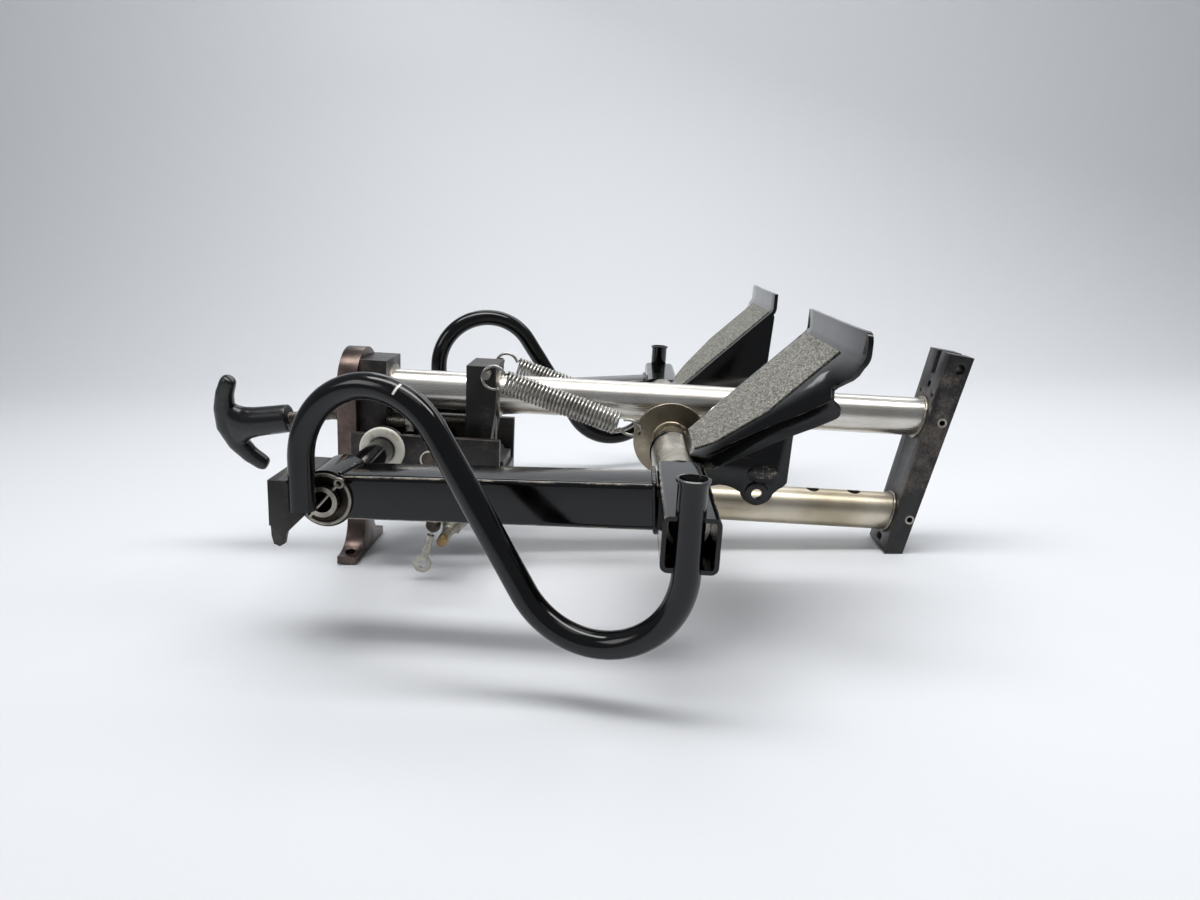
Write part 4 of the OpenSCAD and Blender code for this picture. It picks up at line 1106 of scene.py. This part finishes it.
# %% Crescent grip
GRIP_BACK, RING_POINTS, RING_WIDEN = 72.0, 24, 1.05
# the lower half is bent tighter than the upper: radius and half angle of each
UPPER_HALF, LOWER_HALF = (51.0, 42.0), (43.0, 52.5)
# from a tip to near the middle: share of the half angle, and the grip's radius there
TAPER = [(1.0, 2.2), (0.985, 3.8), (0.95, 4.8), (0.88, 5.4), (0.65, 5.9), (0.35, 6.8)]
GRIP_R = 7.8


def grip_ring(share, radius):
    """The ring of places round the crescent at a share of its half angle."""
    bend, half_angle = LOWER_HALF if share > 0 else UPPER_HALF
    a = math.radians(180 + half_angle * share)
    out, across = Vector((math.cos(a), 0, math.sin(a))), Vector((0, RING_WIDEN, 0))
    middle = Vector((bend - GRIP_BACK + bend * math.cos(a), 0, bend * math.sin(a)))
    return [(middle + out * radius * math.cos(t) + across * radius * math.sin(t)) * MM
            for t in angles(0, 360, RING_POINTS)[:-1]]


stations = [(-share, radius) for share, radius in TAPER] + [(0, GRIP_R)] + TAPER[::-1]
rings = [grip_ring(share, radius) for share, radius in stations]
start()
bpy.ops.mesh.primitive_circle_add(vertices=RING_POINTS, radius=1, fill_type="NGON")
grip = bpy.context.object
for vertex, place in zip(grip.data.vertices, rings[0]):
    vertex.co = place
edit_whole(grip)
for before, after in zip(rings, rings[1:]):
    enter_edit()
    extrude((sum(after, Vector()) - sum(before, Vector())) / RING_POINTS)
    leave_edit()
    for vertex, place in zip([v for v in grip.data.vertices if v.select], after):
        vertex.co = place
print("grip rings", len(rings))

# %% Neck
NECK_X, NECK_R = -29, 9.0
# each step's length, then how it widens across and along the grip
NECK_STEPS = [(0.8, 1.06, 1.06), (12, 1.0, 1.02), (11, 1.0, 1.05),
              (6, 0.98, 1.12), (5, 0.95, 1.26), (4, 0.92, 1.36)]
start()
bpy.ops.mesh.primitive_circle_add(vertices=32, radius=NECK_R * MM, fill_type="NGON",
                                  rotation=(0, -math.pi / 2, 0), location=mm(NECK_X, 0, 0))
neck = bpy.context.object
bpy.ops.object.transform_apply()
edit_whole(neck)
for step, across, along in NECK_STEPS:
    extrude(mm(-step, 0, 0))
    bpy.ops.transform.resize(value=(1, across, along), center_override=(0, 0, 0))
leave_edit()
print("neck faces", len(neck.data.polygons))

# %% Fuse the handle
DROOP, GRIP_TURN, HANDLE_AT, VOXEL = math.radians(9.5), math.radians(17), mm(-18, 0, 93.8), 0.8
for solid in (grip, neck):
    settle(solid, Matrix.Rotation(GRIP_TURN, 4, "X"))
    face_outwards(solid)
shape_with(grip, "BOOLEAN", operation="UNION", object=neck, solver="EXACT")
bpy.data.objects.remove(neck)
shape_with(grip, "REMESH", mode="VOXEL", voxel_size=VOXEL * MM)
shape_with(grip, "SMOOTH", factor=0.5, iterations=8)
settle(grip, Matrix.Translation(HANDLE_AT) @ Matrix.Rotation(-DROOP, 4, "Y"))
smooth_by(grip, 60)
finish_piece(grip, "t_handle_moulded", handle_plastic, "pull_handle", ["t_handle"])
print("handle faces", len(grip.data.polygons))

# %% [markdown]
# ## Weld beads
# The tubes are welded to the bracket, the arms to their hubs and cross tubes, and the spring discs
# to their axles. A bead is a ring or a run of filler metal. A cloud texture of about 2 mm displaces
# it, which gives the ripple that a welder's puddle leaves.

# %% Rings on the tubes
RIPPLE = 2.2


def rippled(bead, name, depth, finish, body):
    """Ripples a bead of weld metal and finishes it."""
    ripple = bpy.data.textures.new(name + "_ripple", "CLOUDS")
    ripple.noise_scale = RIPPLE * MM
    shape_with(bead, "DISPLACE", texture=ripple, strength=depth * MM, mid_level=0.5, texture_coords="LOCAL")
    smooth_by(bead, 60)
    finish_piece(bead, name, finish, body)


# the bracket's rear face starts here and leans forward by this much over this height
FACE_X, FACE_LEAN, FACE_HEIGHT = 353.4, 23.6, 132.7
RING_R, RING_BEAD_R, RING_SUNK = 12.9, 1.1, 0.4
for name, z in (("upper_tube_weld", 114.0), ("lower_tube_weld", 48.6)):
    face_x = FACE_X + (z - CORNER_Z) * FACE_LEAN / FACE_HEIGHT
    start()
    bpy.ops.mesh.primitive_torus_add(major_radius=RING_R * MM, minor_radius=RING_BEAD_R * MM,
                                     major_segments=96, minor_segments=10,
                                     location=mm(face_x - RING_SUNK, 0, z),
                                     rotation=(0, math.pi / 2 + math.atan2(FACE_LEAN, FACE_HEIGHT), 0))
    bpy.ops.object.transform_apply()
    rippled(bpy.context.object, name, 0.9, bare_steel, "rails")
print("tube welds done")

# %% Runs on the pedals
BEAD_STEP, BEAD_OFF, BEAD_CORNER = 0.8, 0.3, 1.3
FRONT_WELD_X, HUB_WELD_X, DISC_WELD_R, DISC_WELD_Y = 194.0, 9.6, 11.2, 30.9
ARM_TURN = Matrix.Rotation(-ARM_PITCH, 3, "Y") @ Matrix.Rotation(ARM_SPLAY, 3, "Z")


def bead_run(name, places, radius, finish, body, closed=False):
    """A run of weld metal along the given places."""
    ends = places + places[:1] if closed else places
    fine = []
    for a, b in zip(ends, ends[1:]):
        count = max(2, int((b - a).length / (BEAD_STEP * MM)))
        fine += [a.lerp(b, i / count) for i in range(count)]
    bead = bent_wire(fine if closed else fine + [ends[-1]], radius, closed)
    rippled(bead, name, 0.8, finish, body)


def on_arm(x, y, z, sign):
    """A place in the arm's own directions, with x from the hub's middle."""
    at = ARM_START + ARM_TURN @ Vector((x, y, z))
    return mm(at.x, sign * at.y, at.z)


def round_arm(world_x, sign):
    """The corners of a bead round the arm where it meets the plane at the given X."""
    across, above = ARM_W / 2 + BEAD_OFF, ARM_H / 2 + BEAD_OFF
    near_across, near_above = across - BEAD_CORNER, above - BEAD_CORNER
    corners = [(-across, -near_above), (-across, near_above), (-near_across, above), (near_across, above),
               (across, near_above), (across, -near_above), (near_across, -above), (-near_across, -above)]
    return [on_arm((world_x - ARM_START.x + math.sin(ARM_SPLAY) * y) / math.cos(ARM_SPLAY), y, z, sign)
            for y, z in corners]


for side, sign in SIDES.items():
    body = "pedal_" + side
    bead_run("arm_front_weld_" + side, round_arm(FRONT_WELD_X, sign), 1.2, gloss_black, body,
             closed=True)
    hub_run = [on_arm(HUB_WELD_X, y, 12.2, sign) for y in (-13, 0, 13)]
    bead_run("arm_hub_weld_" + side, hub_run, 1.3, gloss_black, body)
    disc_ring = [from_axle(x, DISC_WELD_Y, z, sign) for x, z in arc(0, 0, DISC_WELD_R, 0, 360, 40)[:-1]]
    bead_run("disc_weld_" + side, disc_ring, 1.4, disc_coat, body, closed=True)
    print(side, "pedal's welds done")
